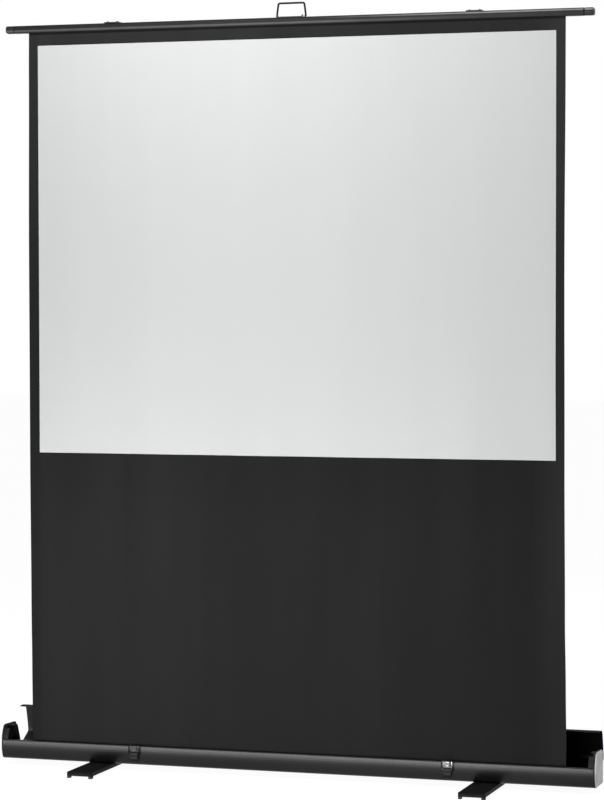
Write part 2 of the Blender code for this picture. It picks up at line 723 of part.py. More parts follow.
def top_bar():
    """Slotted tube that holds the fabric's upper edge, with caps, brackets and handle clip."""
    ends = (BAR_SHIFT - BAR_HALF_LENGTH, BAR_SHIFT + BAR_HALF_LENGTH)
    prism("top_bar", ribbon(bar_line(), BAR_WALL), *ends, "X", BLACK_ALUMINIUM)
    bar_cap("bar_cap_left", -1)
    bar_cap("bar_cap_right", 1)
    left_arm = arm_plane(0)[0]
    right_arm = arm_plane(2)[1]
    gap = 0.0005
    head = PIN_HEAD + GAP
    left_ear = left_arm - gap - CHEEK
    right_ear = right_arm + gap
    bar_bracket("bar_bracket_left", -1, left_ear)
    bar_bracket("bar_bracket_right", 1, right_ear)
    flush = 0.0001
    pin("bar_pin_left", (-PIVOT_X, BAR_PIVOT_Z), left_ear - head, arm_plane(0)[1] - flush)
    right_tip = arm_plane(2)[0] + flush
    pin("bar_pin_right", (PIVOT_X, BAR_PIVOT_Z), right_ear + CHEEK + head, right_tip)


def handle():
    """Wire bail that the screen is pulled up by, and the clip that it turns in."""
    middle = (BAR_Y[0] + BAR_Y[1]) / 2
    pivot = (middle, HANDLE_PIVOT_Z)
    knuckle = (0.0365, 0.0405)
    plate = (BAR_Z[1] + GAP, BAR_Z[1] + GAP + 0.002)
    clip = box("handle_clip", (-0.041, middle - 0.008, plate[0]),
               (0.041, middle + 0.008, plate[1]), BLACK_METAL)
    for side in (-1, 1):
        reach = sorted((side * knuckle[0], side * knuckle[1]))
        foot = [(middle - 0.0034, plate[1] - 0.001), (middle + 0.0034, plate[1] - 0.001)]
        outline = foot + arc(pivot, 0.0034, 0, 180, 22.5)
        join(clip, prism("knuckle", outline, *reach, "X"))
    cut(clip, prism("bore", circle(pivot, HANDLE_WIRE + GAP, 16), -0.05, 0.05, "X"))
    top = HANDLE_TOP - HANDLE_WIRE
    route = [(-0.0370, HANDLE_PIVOT_Z), (-0.0445, HANDLE_PIVOT_Z), (-0.0400, top)]
    route += [(-x, z) for x, z in route[::-1]]
    bends = [0, 0.0030, 0.0065, 0.0065, 0.0030, 0]
    bail = rounded(route, bends, closed=False, step=18)
    wire("handle", [(x, middle, z) for x, z in bail], HANDLE_WIRE, BLACK_METAL)


def foot(name, side):
    """Channel foot: top plate, turned down sides and rolled ends, on a pivot under the case."""
    x = side * FOOT_X
    length, top, edge = FOOT_HALF_LENGTH, FOOT_TOP, FOOT_EDGE

    def profile(inset, low):
        corners = [(-length + inset, low), (length - inset, low)]
        corners += [(length - inset, top - inset), (-length + inset, top - inset)]
        bend = FOOT_END_RADIUS - inset
        return rounded(corners, [0, 0, bend, bend], step=12)

    ends = (x - FOOT_HALF_WIDTH, x + FOOT_HALF_WIDTH)
    body = prism(name, profile(0.0, edge), *ends, "X", BLACK_METAL)
    plan = [(ends[0], -length), (ends[1], -length), (ends[1], length), (ends[0], length)]
    plan = rounded(plan, FOOT_CORNER, step=30)
    round_plan = prism("plan", plan, edge - 0.01, top + 0.01, "Z")
    combine(body, "INTERSECT", round_plan)
    hollow = prism("hollow", profile(WALL, edge - 0.01), ends[0] + WALL, ends[1] - WALL, "X")
    cut(body, hollow)
    hole = prism("hole", circle((x, 0.0), PIN_RADIUS + GAP, 20), top - 0.01, top + 0.01, "Z")
    cut(body, hole)
    slot = stadium((x - 0.026, -0.069), (x - 0.020, -0.069), 0.0022, 30)
    return cut(body, prism("slot", slot, top - 0.01, top + 0.01, "Z"))


def foot_pad(name, x_side, y_side, foot_x):
    """Rubber corner of a foot: a sole under the channel's edges and a plug inside it."""
    edge = FOOT_EDGE - GAP
    high = (FOOT_HALF_WIDTH - GAP, FOOT_HALF_LENGTH - GAP)
    low = (high[0] - PAD_WIDTH, high[1] - PAD_LENGTH)
    corners = [low, (high[0], low[1]), high, (low[0], high[1])]
    plan = rounded(corners, [0, 0, FOOT_CORNER - GAP, 0], step=30)
    plan = [(foot_x + u * x_side, v * y_side) for u, v in plan]
    sole = prism(name, plan, 0.0, edge, "Z", RUBBER)
    clear = WALL + GAP
    wall = FOOT_HALF_LENGTH - clear
    roof = FOOT_TOP - clear
    corners = [(low[1], edge - 0.001), (wall, edge - 0.001), (wall, roof), (low[1], roof)]
    line = rounded(corners, [0, 0, FOOT_END_RADIUS - clear, 0], step=22.5)
    line = [(y * y_side, z) for y, z in line]
    sides = (low[0], FOOT_HALF_WIDTH - clear - GAP)
    reach = sorted(foot_x + x_side * u for u in sides)
    return join(sole, prism("plug", line, *reach, "X"))


def feet():
    for side, label in ((-1, "left"), (1, "right")):
        x = side * FOOT_X
        foot(f"foot_{label}", side)
        for y_side, end in ((-1, "front"), (1, "rear")):
            for x_side, hand in ((-1, "a"), (1, "b")):
                foot_pad(f"foot_pad_{label}_{end}_{hand}", x_side, y_side, x)
        plate = FOOT_TOP - WALL
        floor = CASE_BOTTOM + WALL
        stud = [
            (plate - 0.0052, 0.0065),
            (plate - 0.0040, 0.0080),
            (plate - GAP, 0.0080),
            (plate - GAP, PIN_RADIUS),
            (floor + GAP, PIN_RADIUS),
            (floor + GAP, 0.0080),
            (floor + 0.0040, 0.0080),
            (floor + 0.0045, 0.0070),
        ]
        turned(f"foot_pivot_{label}", stud, (x, 0.0), "Z", STEEL)


def latch_base(name, x):
    """Plate on the case front with two ears and the pin that the lever turns on."""
    stand = -(GAP + 0.0007)
    low, high = LATCH_PLATE_Z
    line = [bow_point(low + (high - low) * i / 5, stand) for i in range(6)]
    half = LATCH_PLATE_HALF
    body = prism(name, ribbon(line, 0.0014), x - half, x + half, "X", CHROME)
    back = bow_point(low, stand)[0]
    for side in (-1, 1):
        reach = sorted((x + side * 0.0126, x + side * 0.0146))
        outline = [(back, low + 0.0100)] + arc(LATCH_PIVOT, 0.0032, 70, 260, 27) + [(back, low)]
        join(body, prism("ear", outline, *reach, "X"))
    axle = turned("axle", [(x - 0.0152, 0.0015), (x + 0.0152, 0.0015)], LATCH_PIVOT, "X",
                  sides=12)
    return join(body, axle)


def latch_lever(name, x):
    """Black lever hanging from the latch pin, with a sunk window and a finger lip."""
    ends = (x - LEVER_HALF, x + LEVER_HALF)
    knuckle = stadium(LATCH_LINK, LATCH_PIVOT, 0.0030, 30)
    body = prism(name, knuckle, *ends, "X", BLACK_METAL)
    blade = [(-0.0598, 0.0495), (-0.0596, 0.0380), (-0.0572, 0.0330), (-0.0596, 0.0312)]
    line = rounded(blade, [0, 0.006, 0.0015, 0], closed=False, step=25)
    join(body, prism("blade", ribbon(line, 0.0022), *ends, "X"))
    window = box("window", (x - 0.0080, -0.066, 0.0385), (x + 0.0080, -0.0598, 0.0450))
    cut(body, window)
    for centre, radius in ((LATCH_PIVOT, 0.0018), (LATCH_LINK, 0.0015)):
        cut(body, prism("bore", circle(centre, radius, 12), x - 0.02, x + 0.02, "X"))
    return body


def latch_loop(name, x):
    """Wire loop that hooks over the keeper, with its ends turned into the lever."""
    y, z = LATCH_LINK
    top = LOOP_TOP
    route = [(-0.0094, z), (-LOOP_HALF, z), (-LOOP_HALF, top)]
    route += [(-u, v) for u, v in route[::-1]]
    bent = rounded(route, [0, 0.002, 0.005, 0.005, 0.002, 0], closed=False, step=30)
    points = [(x + u, y - 0.0016 * (v - z) / (top - z), v) for u, v in bent]
    return wire(name, points, 0.0012, CHROME, 1)


def hold(name, location, pieces):
    """An empty on a joint's axis, carrying the pieces that turn about it."""
    axis = bpy.data.objects.new(name, None)
    axis.empty_display_size = 0.02
    axis.location = location
    bpy.context.scene.collection.objects.link(axis)
    for piece in pieces:
        thing = bpy.data.objects[piece]
        thing.parent = axis
        thing.matrix_parent_inverse = Matrix.Translation(location).inverted()


def hang_on_axes():
    lean = math.asin((BAR_PIVOT_Z - BASE_PIVOT_Z) / 2 / ARM_LENGTH)
    knee_x = PIVOT_X - ARM_LENGTH * math.cos(lean)
    knee_z = (BAR_PIVOT_Z + BASE_PIVOT_Z) / 2
    bar = ["top_bar", "bar_cap_left", "bar_cap_right", "bar_bracket_left"]
    bar += ["bar_bracket_right", "bar_pin_left", "bar_pin_right", "handle_clip", "fabric_rod"]
    rolling = ["roller_tube", "roller_plug_left", "roller_plug_right"]
    middle = (BAR_Y[0] + BAR_Y[1]) / 2
    hold("lid_axis", (0, *HINGE), ["lid", "lid_keeper_left", "lid_keeper_right"])
    hold("roller_axis", (0, *ROLLER_AXIS), rolling)
    hold("bar_axis", (-PIVOT_X, 0, BAR_PIVOT_Z), bar)
    hold("handle_axis", (0, middle, HANDLE_PIVOT_Z), ["handle"])
    for side, label in ((-1, "left"), (1, "right")):
        base = (side * PIVOT_X, 0, BASE_PIVOT_Z)
        knee = (side * knee_x, 0, knee_z)
        hold(f"lower_arm_axis_{label}", base, [f"lower_arm_{label}"])
        upper = [f"upper_arm_{label}", f"knee_pin_{label}", f"knee_washer_{label}"]
        hold(f"upper_arm_axis_{label}", knee, upper)
        pads = [f"foot_pad_{label}_{end}_{hand}" for end in ("front", "rear") for hand in "ab"]
        hold(f"foot_axis_{label}", (side * FOOT_X, 0, 0), [f"foot_{label}", *pads])
        x = side * LATCH_X
        hold(f"lever_axis_{label}", (x, *LATCH_PIVOT), [f"latch_lever_{label}"])
        hold(f"loop_axis_{label}", (x, *LATCH_LINK), [f"latch_loop_{label}"])


def shade():
    """Round faces are smooth, and edges of more than 32 degrees stay sharp."""
    for thing in bpy.data.objects:
        if thing.type == "MESH":
            thing.data.shade_smooth()
            thing.data.set_sharp_from_angle(angle=math.radians(32))


def build():
    clear_scene()
    case_base()
    lid()
    for side, label in ((-1, "left"), (1, "right")):
        lid_keeper(f"lid_keeper_{label}", side * LATCH_X)
        latch_base(f"latch_base_{label}", side * LATCH_X)
        latch_lever(f"latch_lever_{label}", side * LATCH_X)
        latch_loop(f"latch_loop_{label}", side * LATCH_X)
    mirrored(end_cap("end_cap_right"), "end_cap_left")
    mirrored(end_plate("end_plate_right"), "end_plate_left")
    roller()
    fabric()
    arms()
    top_bar()
    handle()
    feet()
    hang_on_axes()
    shade()


build()
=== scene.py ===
import math

import bmesh
import bpy
from mathutils import Matrix, Vector


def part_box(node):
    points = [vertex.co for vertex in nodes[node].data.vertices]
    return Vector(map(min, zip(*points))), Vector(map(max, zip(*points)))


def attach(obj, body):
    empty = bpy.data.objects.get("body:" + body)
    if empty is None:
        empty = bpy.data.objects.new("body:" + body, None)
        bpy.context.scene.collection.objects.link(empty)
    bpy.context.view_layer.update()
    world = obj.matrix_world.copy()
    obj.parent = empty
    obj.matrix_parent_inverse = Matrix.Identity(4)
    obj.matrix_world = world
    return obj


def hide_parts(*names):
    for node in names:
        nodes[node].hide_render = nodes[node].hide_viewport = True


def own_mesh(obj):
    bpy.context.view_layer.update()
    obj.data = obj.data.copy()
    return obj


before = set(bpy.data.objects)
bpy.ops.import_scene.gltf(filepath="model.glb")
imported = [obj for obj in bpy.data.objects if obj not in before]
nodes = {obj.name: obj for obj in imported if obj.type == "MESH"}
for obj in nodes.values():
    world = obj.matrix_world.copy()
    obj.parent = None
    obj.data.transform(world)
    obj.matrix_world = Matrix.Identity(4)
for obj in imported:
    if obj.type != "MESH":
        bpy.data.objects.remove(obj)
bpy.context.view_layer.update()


# Camera
# The screen is seen from its right, from a little under the middle of the picture, through a
# long lens, so that the uprights stay nearly parallel.
CAMERA_PLACE = Vector((2.5585, -7.8414, 1.4232))
CAMERA_YAW = 0.303071
CAMERA_PITCH = 0.0385027
CAMERA_ROLL = -0.0013287
SENSOR_MM = 36.0
FRAME_PIXELS = 800
FOCAL_PIXELS = 2787.83
SHIFT_PIXELS = (-25.66, 5.4)

camera_data = bpy.data.cameras.new("camera")
camera = bpy.data.objects.new("camera", camera_data)
bpy.context.scene.collection.objects.link(camera)
camera_data.sensor_width = SENSOR_MM
camera_data.lens = SENSOR_MM * FOCAL_PIXELS / FRAME_PIXELS
camera_data.shift_x = SHIFT_PIXELS[0] / FRAME_PIXELS
camera_data.shift_y = SHIFT_PIXELS[1] / FRAME_PIXELS
camera_data.clip_start = 0.1
camera_data.clip_end = 200.0
turn = Matrix.Rotation(CAMERA_YAW, 4, "Z")
tilt = Matrix.Rotation(math.pi / 2 - CAMERA_PITCH, 4, "X")
roll = Matrix.Rotation(CAMERA_ROLL, 4, "Z")
camera.matrix_world = Matrix.Translation(CAMERA_PLACE) @ turn @ tilt @ roll
bpy.context.scene.camera = camera


# Case base
# An aluminium extrusion, anodised a satin dark grey. The die leaves fine lines along its
# length, and handling leaves a few duller patches.
CASE_GREY = (0.0203, 0.0203, 0.0206)


def start_finish(name, colour, roughness, metallic=0.0, gloss=0.5):
    """A new Principled material, with its node tree and shader."""
    finish = bpy.data.materials.new(name)
    finish.use_nodes = True
    shader = finish.node_tree.nodes["Principled BSDF"]
    shader.inputs["Base Color"].default_value = (*colour, 1.0)
    shader.inputs["Roughness"].default_value = roughness
    shader.inputs["Metallic"].default_value = metallic
    shader.inputs["Specular IOR Level"].default_value = gloss
    return finish, finish.node_tree, shader


def stretched_noise(tree, size, detail, scale=(1.0, 1.0, 1.0)):
    """Noise on Object coordinates, drawn out along the axes with a small scale."""
    place = tree.nodes.new("ShaderNodeTexCoord")
    spread = tree.nodes.new("ShaderNodeMapping")
    spread.inputs["Scale"].default_value = scale
    tree.links.new(place.outputs["Object"], spread.inputs["Vector"])
    noise = tree.nodes.new("ShaderNodeTexNoise")
    noise.inputs["Scale"].default_value = size
    noise.inputs["Detail"].default_value = detail
    tree.links.new(spread.outputs["Vector"], noise.inputs["Vector"])
    return noise.outputs["Fac"]


def anodised_cloud(tree):
    """Broad soft patches, a little drawn out along X."""
    return stretched_noise(tree, size=9.0, detail=4.0, scale=(0.6, 1.0, 1.0))


def die_lines(tree):
    """The fine lines along X that an extrusion die leaves."""
    return stretched_noise(tree, size=3.0, detail=2.0, scale=(0.9, 260.0, 260.0))


def between(tree, value, low, high, start=0.3, end=0.7):
    """A value spread from its own start and end, those of most noise, over a new range."""
    reach = tree.nodes.new("ShaderNodeMapRange")
    reach.inputs["From Min"].default_value = start
    reach.inputs["From Max"].default_value = end
    reach.inputs["To Min"].default_value = low
    reach.inputs["To Max"].default_value = high
    tree.links.new(value, reach.inputs["Value"])
    return reach.outputs["Result"]


def tinted(colour, factor):
    """A colour times a factor."""
    return tuple(min(1.0, part * factor) for part in colour)


def clouded(tree, noise, colour, darkest, lightest, start=0.35, end=0.65):
    """A colour that a noise takes from its darkest tint to its lightest."""
    ramp = tree.nodes.new("ShaderNodeValToRGB")
    ends = ((start, darkest), (end, lightest))
    for element, (position, factor) in zip(ramp.color_ramp.elements, ends):
        element.position = position
        element.color = (*tinted(colour, factor), 1.0)
    tree.links.new(noise, ramp.inputs["Fac"])
    return ramp.outputs["Color"]


def set_surface(tree, shader, grain, smoothest, roughest, depth, start=0.3, end=0.7):
    """Roughness over a range, and bump of a depth in metres, both from one grain."""
    rough = between(tree, grain, smoothest, roughest, start, end)
    tree.links.new(rough, shader.inputs["Roughness"])
    bump = tree.nodes.new("ShaderNodeBump")
    bump.inputs["Strength"].default_value = 1.0
    bump.inputs["Distance"].default_value = depth
    tree.links.new(grain, bump.inputs["Height"])
    tree.links.new(bump.outputs["Normal"], shader.inputs["Normal"])


def anodised(name, colour, roughness, metallic):
    """Satin anodised extrusion: die lines along X, soft cloudiness and a varying sheen."""
    finish, tree, shader = start_finish(name, colour, roughness, metallic)
    shade = clouded(tree, anodised_cloud(tree), colour, darkest=0.93, lightest=1.07)
    tree.links.new(shade, shader.inputs["Base Color"])
    set_surface(
        tree, shader, die_lines(tree), roughness - 0.012, roughness + 0.012, depth=0.000006
    )
    return finish


def dress(finish, *names):
    """Gives a finish to CAD nodes, whose shapes stay as they are."""
    for name in names:
        nodes[name].data.materials.clear()
        nodes[name].data.materials.append(finish)


case_finish = anodised("case_aluminium", CASE_GREY, roughness=0.29, metallic=0.9)
dress(case_finish, "case_base")


# Lid
# The upper half of the case is a second extrusion of the same stock, hinged along the rear.
# Its outside matches the base. The inside is duller, and painted darker as shade inside the
# case; towards its left end it is painted paler as light.
# The inside colour is painted shade, and the paling towards the left end is painted light.
LID_SHADED_INSIDE = (0.0085, 0.0085, 0.009)
LID_SHEEN = (0.12, 0.12, 0.12)
LID_OPENING_ANGLE = math.radians(18)
LID_OUTWARDS = (0.0, math.cos(LID_OPENING_ANGLE), math.sin(LID_OPENING_ANGLE))
LID_PAINTED_LIGHT_END = (-0.86, -0.72)
LID_PAINTED_LIGHT = 3.5


def texture_axes(tree, reading):
    """The X, Y and Z sockets of a texture coordinate, read as Object or Normal."""
    place = tree.nodes.new("ShaderNodeTexCoord")
    axes = tree.nodes.new("ShaderNodeSeparateXYZ")
    tree.links.new(place.outputs[reading], axes.inputs["Vector"])
    return axes.outputs


def scaled(tree, colour, factor):
    """A colour times a value."""
    product = tree.nodes.new("ShaderNodeVectorMath")
    product.operation = "SCALE"
    tree.links.new(colour, product.inputs[0])
    tree.links.new(factor, product.inputs["Scale"])
    return product.outputs["Vector"]


def mixed(tree, share, first, second):
    """A colour that goes from the first to the second as a share goes from 0 to 1."""
    blend = tree.nodes.new("ShaderNodeMix")
    blend.data_type = "RGBA"
    tree.links.new(share, blend.inputs["Factor"])
    tree.links.new(first, blend.inputs["A"])
    tree.links.new(second, blend.inputs["B"])
    return blend.outputs["Result"]


def lid_metal():
    """The case's finish outside; painted shade inside, painted paler as light at the left end."""
    finish, tree, shader = start_finish("lid_aluminium", CASE_GREY, 0.38, metallic=0.85)
    shader.inputs["Specular Tint"].default_value = (*LID_SHEEN, 1.0)
    cloud = anodised_cloud(tree)
    outside = clouded(tree, cloud, CASE_GREY, darkest=0.93, lightest=1.07)
    # Painted shade on faces that look into the case, paler towards the left end as painted light.
    shaded_inside = clouded(tree, cloud, LID_SHADED_INSIDE, darkest=0.8, lightest=1.2)
    along = texture_axes(tree, "Object")["X"]
    shaded_inside = scaled(tree, shaded_inside, between(tree, along, LID_PAINTED_LIGHT, 1.0, *LID_PAINTED_LIGHT_END))
    facing = tree.nodes.new("ShaderNodeTexCoord")
    side = tree.nodes.new("ShaderNodeVectorMath")
    side.operation = "DOT_PRODUCT"
    side.inputs[1].default_value = LID_OUTWARDS
    tree.links.new(facing.outputs["Normal"], side.inputs[0])
    outwards = between(tree, side.outputs["Value"], 0.0, 1.0, start=-0.02, end=0.02)
    shade = mixed(tree, outwards, shaded_inside, outside)
    tree.links.new(shade, shader.inputs["Base Color"])
    set_surface(tree, shader, die_lines(tree), smoothest=0.35, roughest=0.42, depth=0.00003)
    return finish


dress(lid_metal(), "lid")


# End caps
# Black moulded caps close the case's ends. The cup that plugs into the case has a fine
# spark-eroded texture, and the plug on the roller is the same plastic.
CAP_BLACK = (0.0075, 0.0075, 0.0078)


def moulded(name, colour, roughness, grain=0.00004, gloss=0.25):
    """Moulded plastic or rubber: a fine even grain of a depth in metres, and flow marks."""
    finish, tree, shader = start_finish(name, colour, roughness, gloss=gloss)
    flow = stretched_noise(tree, size=22.0, detail=3.0)
    shade = clouded(tree, flow, colour, darkest=0.85, lightest=1.18)
    tree.links.new(shade, shader.inputs["Base Color"])
    fine = stretched_noise(tree, size=1400.0, detail=2.0)
    set_surface(tree, shader, fine, roughness - 0.05, roughness + 0.06, grain)
    return finish


cap_finish = moulded("moulded_black", CAP_BLACK, roughness=0.50, gloss=0.15)
dress(cap_finish, "end_cap_left", "end_cap_right")


# End plates
# A bevelled plate of light grey plastic covers the outer face of each cap. It is moulded in
# one piece, with a satin face.
PLATE_GREY = (0.70, 0.70, 0.70)

plate_finish = moulded("moulded_light_grey", PLATE_GREY, roughness=0.42, grain=0.00002)
dress(plate_finish, "end_plate_left", "end_plate_right")


# Cap screws
# A small plated pan-head screw goes through the front wall into each cap. Geometry Nodes
# put one shape on every place in the list.
CAP_SCREW_PLACES = ((-0.9110, -0.0547, 0.0680), (0.9110, -0.0547, 0.0680))
SCREW_STEEL = (0.10, 0.10, 0.105)
SCREW_SIDES = 24
# The dome's rings and the recess, in shares of the head's radius and height.
SCREW_DOME = ((1.0, 0.0), (1.0, 0.35), (0.86, 0.75), (0.60, 0.94), (0.50, 1.0))
RECESS_ARM = 0.45
RECESS_WIDTH = 0.11
RECESS_TAPER = 0.45
RECESS_DEPTH = 0.65


def plated(name, colour, roughness):
    """Plated steel: bright with faint scratches and a clouded sheen."""
    finish, tree, shader = start_finish(name, colour, roughness, metallic=1.0)
    cloud = stretched_noise(tree, size=60.0, detail=3.0)
    shade = clouded(tree, cloud, colour, darkest=0.85, lightest=1.1)
    tree.links.new(shade, shader.inputs["Base Color"])
    scratch = stretched_noise(tree, size=220.0, detail=4.0)
    set_surface(tree, shader, scratch, roughness * 0.75, roughness * 1.35, depth=0.00002)
    return finish


def join_rings(shape, rings):
    """Faces from each ring of points up to the next, and one that closes the first ring."""
    for low, high in zip(rings, rings[1:]):
        for i in range(len(low)):
            j = (i + 1) % len(low)
            shape.faces.new((low[i], low[j], high[j], high[i]))
    shape.faces.new(rings[0][::-1])


def turned_dome(shape, profile, radius, height, sides):
    """A dome round Z, from rings given as shares of its radius and height."""
    rings = []
    for wide, tall in profile:
        ring = []
        for i in range(sides):
            angle = math.tau * i / sides
            x, y = radius * wide * math.cos(angle), radius * wide * math.sin(angle)
            ring.append(shape.verts.new((x, y, height * tall)))
        rings.append(ring)
    join_rings(shape, rings)
    return rings


def finished_mesh(shape, name):
    """A bmesh turned into a mesh, and let go."""
    data = bpy.data.meshes.new(name)
    shape.to_mesh(data)
    shape.free()
    return data


def screw_head(name, radius, height):
    """A domed screw head with a cross recess, standing on Z = 0 with its top up."""
    shape = bmesh.new()
    top = turned_dome(shape, SCREW_DOME, radius, height, SCREW_SIDES)[-1]
    # The recess is a cross with tapering arms, let into the flat of the head.
    arm, width = radius * RECESS_ARM, radius * RECESS_WIDTH
    outline = []
    for quarter in range(4):
        cos, sin = math.cos(math.pi / 2 * quarter), math.sin(math.pi / 2 * quarter)
        for x, y in ((arm, -width), (arm, width), (width, width)):
            outline.append((x * cos - y * sin, x * sin + y * cos))
    bed_height = height - height * RECESS_DEPTH
    edge = [shape.verts.new((x, y, height)) for x, y in outline]
    bed = [
        shape.verts.new((x * RECESS_TAPER, y * RECESS_TAPER, bed_height)) for x, y in outline
    ]
    for i in range(len(edge)):
        j = (i + 1) % len(edge)
        shape.faces.new((edge[i], edge[j], bed[j], bed[i]))
    shape.faces.new(bed)
    flat = [
        shape.edges.get((ring[i], ring[(i + 1) % len(ring)]))
        for ring in (top, edge) for i in range(len(ring))
    ]
    bmesh.ops.triangle_fill(shape, use_beauty=True, edges=flat)
    bmesh.ops.recalc_face_normals(shape, faces=shape.faces)
    return finished_mesh(shape, name)


def placed_copies(name, shape, places, turned_by, finish):
    """One mesh with a copy of a shape on every place, made by Geometry Nodes."""
    tree = bpy.data.node_groups.new(name + "_pattern", "GeometryNodeTree")
    tree.interface.new_socket("Geometry", in_out="INPUT", socket_type="NodeSocketGeometry")
    turn_socket = tree.interface.new_socket(
        "Turn", in_out="INPUT", socket_type="NodeSocketRotation"
    )
    size_socket = tree.interface.new_socket("Size", in_out="INPUT", socket_type="NodeSocketFloat")
    tree.interface.new_socket("Geometry", in_out="OUTPUT", socket_type="NodeSocketGeometry")
    entry = tree.nodes.new("NodeGroupInput")
    leaving = tree.nodes.new("NodeGroupOutput")
    spots = tree.nodes.new("GeometryNodeMeshToPoints")
    one = tree.nodes.new("GeometryNodeObjectInfo")
    one.inputs["As Instance"].default_value = True
    copies = tree.nodes.new("GeometryNodeInstanceOnPoints")
    real = tree.nodes.new("GeometryNodeRealizeInstances")
    dressed = tree.nodes.new("GeometryNodeSetMaterial")
    dressed.inputs["Material"].default_value = finish
    pattern = bpy.data.objects.new(name + "_shape", shape)
    bpy.context.scene.collection.objects.link(pattern)
    one.inputs["Object"].default_value = pattern
    link = tree.links.new
    link(entry.outputs["Geometry"], spots.inputs["Mesh"])
    link(spots.outputs["Points"], copies.inputs["Points"])
    link(one.outputs["Geometry"], copies.inputs["Instance"])
    link(entry.outputs["Turn"], copies.inputs["Rotation"])
    link(entry.outputs["Size"], copies.inputs["Scale"])
    link(copies.outputs["Instances"], real.inputs["Geometry"])
    link(real.outputs["Geometry"], dressed.inputs["Geometry"])
    link(dressed.outputs["Geometry"], leaving.inputs["Geometry"])
    data = bpy.data.meshes.new(name)
    data.from_pydata([tuple(place) for place in places], [], [])
    carrier = bpy.data.objects.new(name, data)
    bpy.context.scene.collection.objects.link(carrier)
    step = carrier.modifiers.new("copies", "NODES")
    step.node_group = tree
    step[turn_socket.identifier] = turned_by
    step[size_socket.identifier] = 1.0
    graph = bpy.context.evaluated_depsgraph_get()
    made = bpy.data.meshes.new_from_object(carrier.evaluated_get(graph))
    carrier.modifiers.clear()
    carrier.data = made
    bpy.data.objects.remove(pattern)
    made.shade_smooth()
    made.set_sharp_from_angle(angle=math.radians(35))
    return carrier


screw_finish = plated("plated_screw", SCREW_STEEL, roughness=0.30)
cap_screws = placed_copies(
    "cap_screws",
    screw_head("cap_screw_head", radius=0.0032, height=0.0018),
    CAP_SCREW_PLACES,
    (math.pi / 2, 0.0, 0.0),
    screw_finish,
)
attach(cap_screws, "case")


# Roller
# A thin aluminium tube under the front lip, with plastic plugs and a coil spring inside
# that winds the fabric down.
ZINC_GREY = (0.40, 0.40, 0.41)

dress(case_finish, "roller_tube")
dress(cap_finish, "roller_plug_left", "roller_plug_right")
zinc_finish = plated("zinc_plate", ZINC_GREY, roughness=0.36)
dress(zinc_finish, "spring_shaft", "roller_spring")


# Black masking fabric
# One length of black coated cloth, printed round the picture, drawn from the roller up to
# the bar. It hangs nearly flat, with faint upright waves in its lower part.
FABRIC_HALF = 0.8285
FABRIC_FRONT = -0.035
FABRIC_ENDS = (0.0525, 2.2295)
CLOTH_THICKNESS = 0.0006
CLOTH_CELL = (0.020, 0.024)
CLOTH_BLACK = (0.0153, 0.0153, 0.0153)
half_picture, picture_low, picture_high = 0.800, 0.9563, 2.1848
# The print is shifted to the right by its left edge's and its right edge's amounts, and at
# the right by the last amount more at the foot.
PRINT_SHIFT_LEFT, PRINT_SHIFT_RIGHT, PRINT_SHIFT_FOOT = 0.0022, 0.0009, 0.0014
PRINT_FOOT_TOP, PRINT_FOOT_HEIGHT = 1.20, 0.25
# Where the waves begin above the roller and fade out below the bar, and over what height.
WAVES_FROM, WAVES_GROW = 0.075, 0.35
WAVES_TO, WAVES_FADE = 1.9, 1.0
# Each wave's depth, length, phase, and change of phase for each metre up.
CLOTH_WAVES = (
    (0.0020, 0.310, -2.18, -0.5),
    (0.0008, 0.230, -1.10, -1.3),
    (0.0005, 0.131, 2.00, 0.7),
)
# A height, and how far the left and the right cut edge stand to the right there.
EDGE_BOW = (
    (0.05, 0.0026, 0.0050),
    (0.15, 0.0023, 0.0058),
    (0.30, 0.0014, 0.0045),
    (0.50, 0.0000, 0.0018),
    (0.95, -0.0021, -0.0004),
    (1.53, -0.0022, -0.0022),
    (2.12, 0.0008, 0.0002),
    (2.23, 0.0016, 0.0004),
)
# Painted light and shade on the black cloth: darker towards the roller as painted shade,
# lighter towards the top, the left and the right edge as painted light, and a dark line under
# the bar as painted shadow. Each row gives an axis of the flat cloth, where the painting
# begins and ends on it, and its factor at each.
CLOTH_PAINTED_LIGHT_AND_SHADE = (
    ("Y", 0.05, 0.75, 0.47, 1.0),
    ("Y", 1.45, 1.85, 1.0, 1.40),
    ("Y", 2.2165, 2.2190, 1.0, 0.34),
    ("X", -0.80, 0.45, 1.42, 1.0),
    ("X", -0.805, -0.795, 0.82, 1.0),
    ("X", 0.73, 0.815, 1.0, 1.70),
)


def held_share(share):
    return max(0.0, min(1.0, share))


def eased(share):
    """A share held between 0 and 1, with a gentle start and end."""
    held = held_share(share)
    return held * held * (3 - 2 * held)


def cloth_wave(x, z):
    """How far the cloth stands forward of its plane: faint upright waves, none at its ends."""
    hold = eased((z - WAVES_FROM) / WAVES_GROW) * eased((WAVES_TO - z) / WAVES_FADE)
    wave = 0.0
    for depth, length, phase, drift in CLOTH_WAVES:
        wave += depth * math.sin(math.tau * x / length + phase + drift * z)
    return -wave * hold


def edge_shift(z, hand):
    """Sideways drift of the cloth's left (1) or right (2) cut edge, read along its height."""
    for low, high in zip(EDGE_BOW, EDGE_BOW[1:]):
        if z <= high[0]:
            share = eased((z - low[0]) / (high[0] - low[0]))
            return low[hand] + (high[hand] - low[hand]) * share
    return EDGE_BOW[-1][hand]


def steps_through(stops, largest):
    """Values through each stop, no further apart than the largest step."""
    values = [stops[0]]
    for low, high in zip(stops, stops[1:]):
        count = max(1, math.ceil((high - low) / largest - 1e-6))
        values += [low + (high - low) * i / count for i in range(1, count + 1)]
    return values


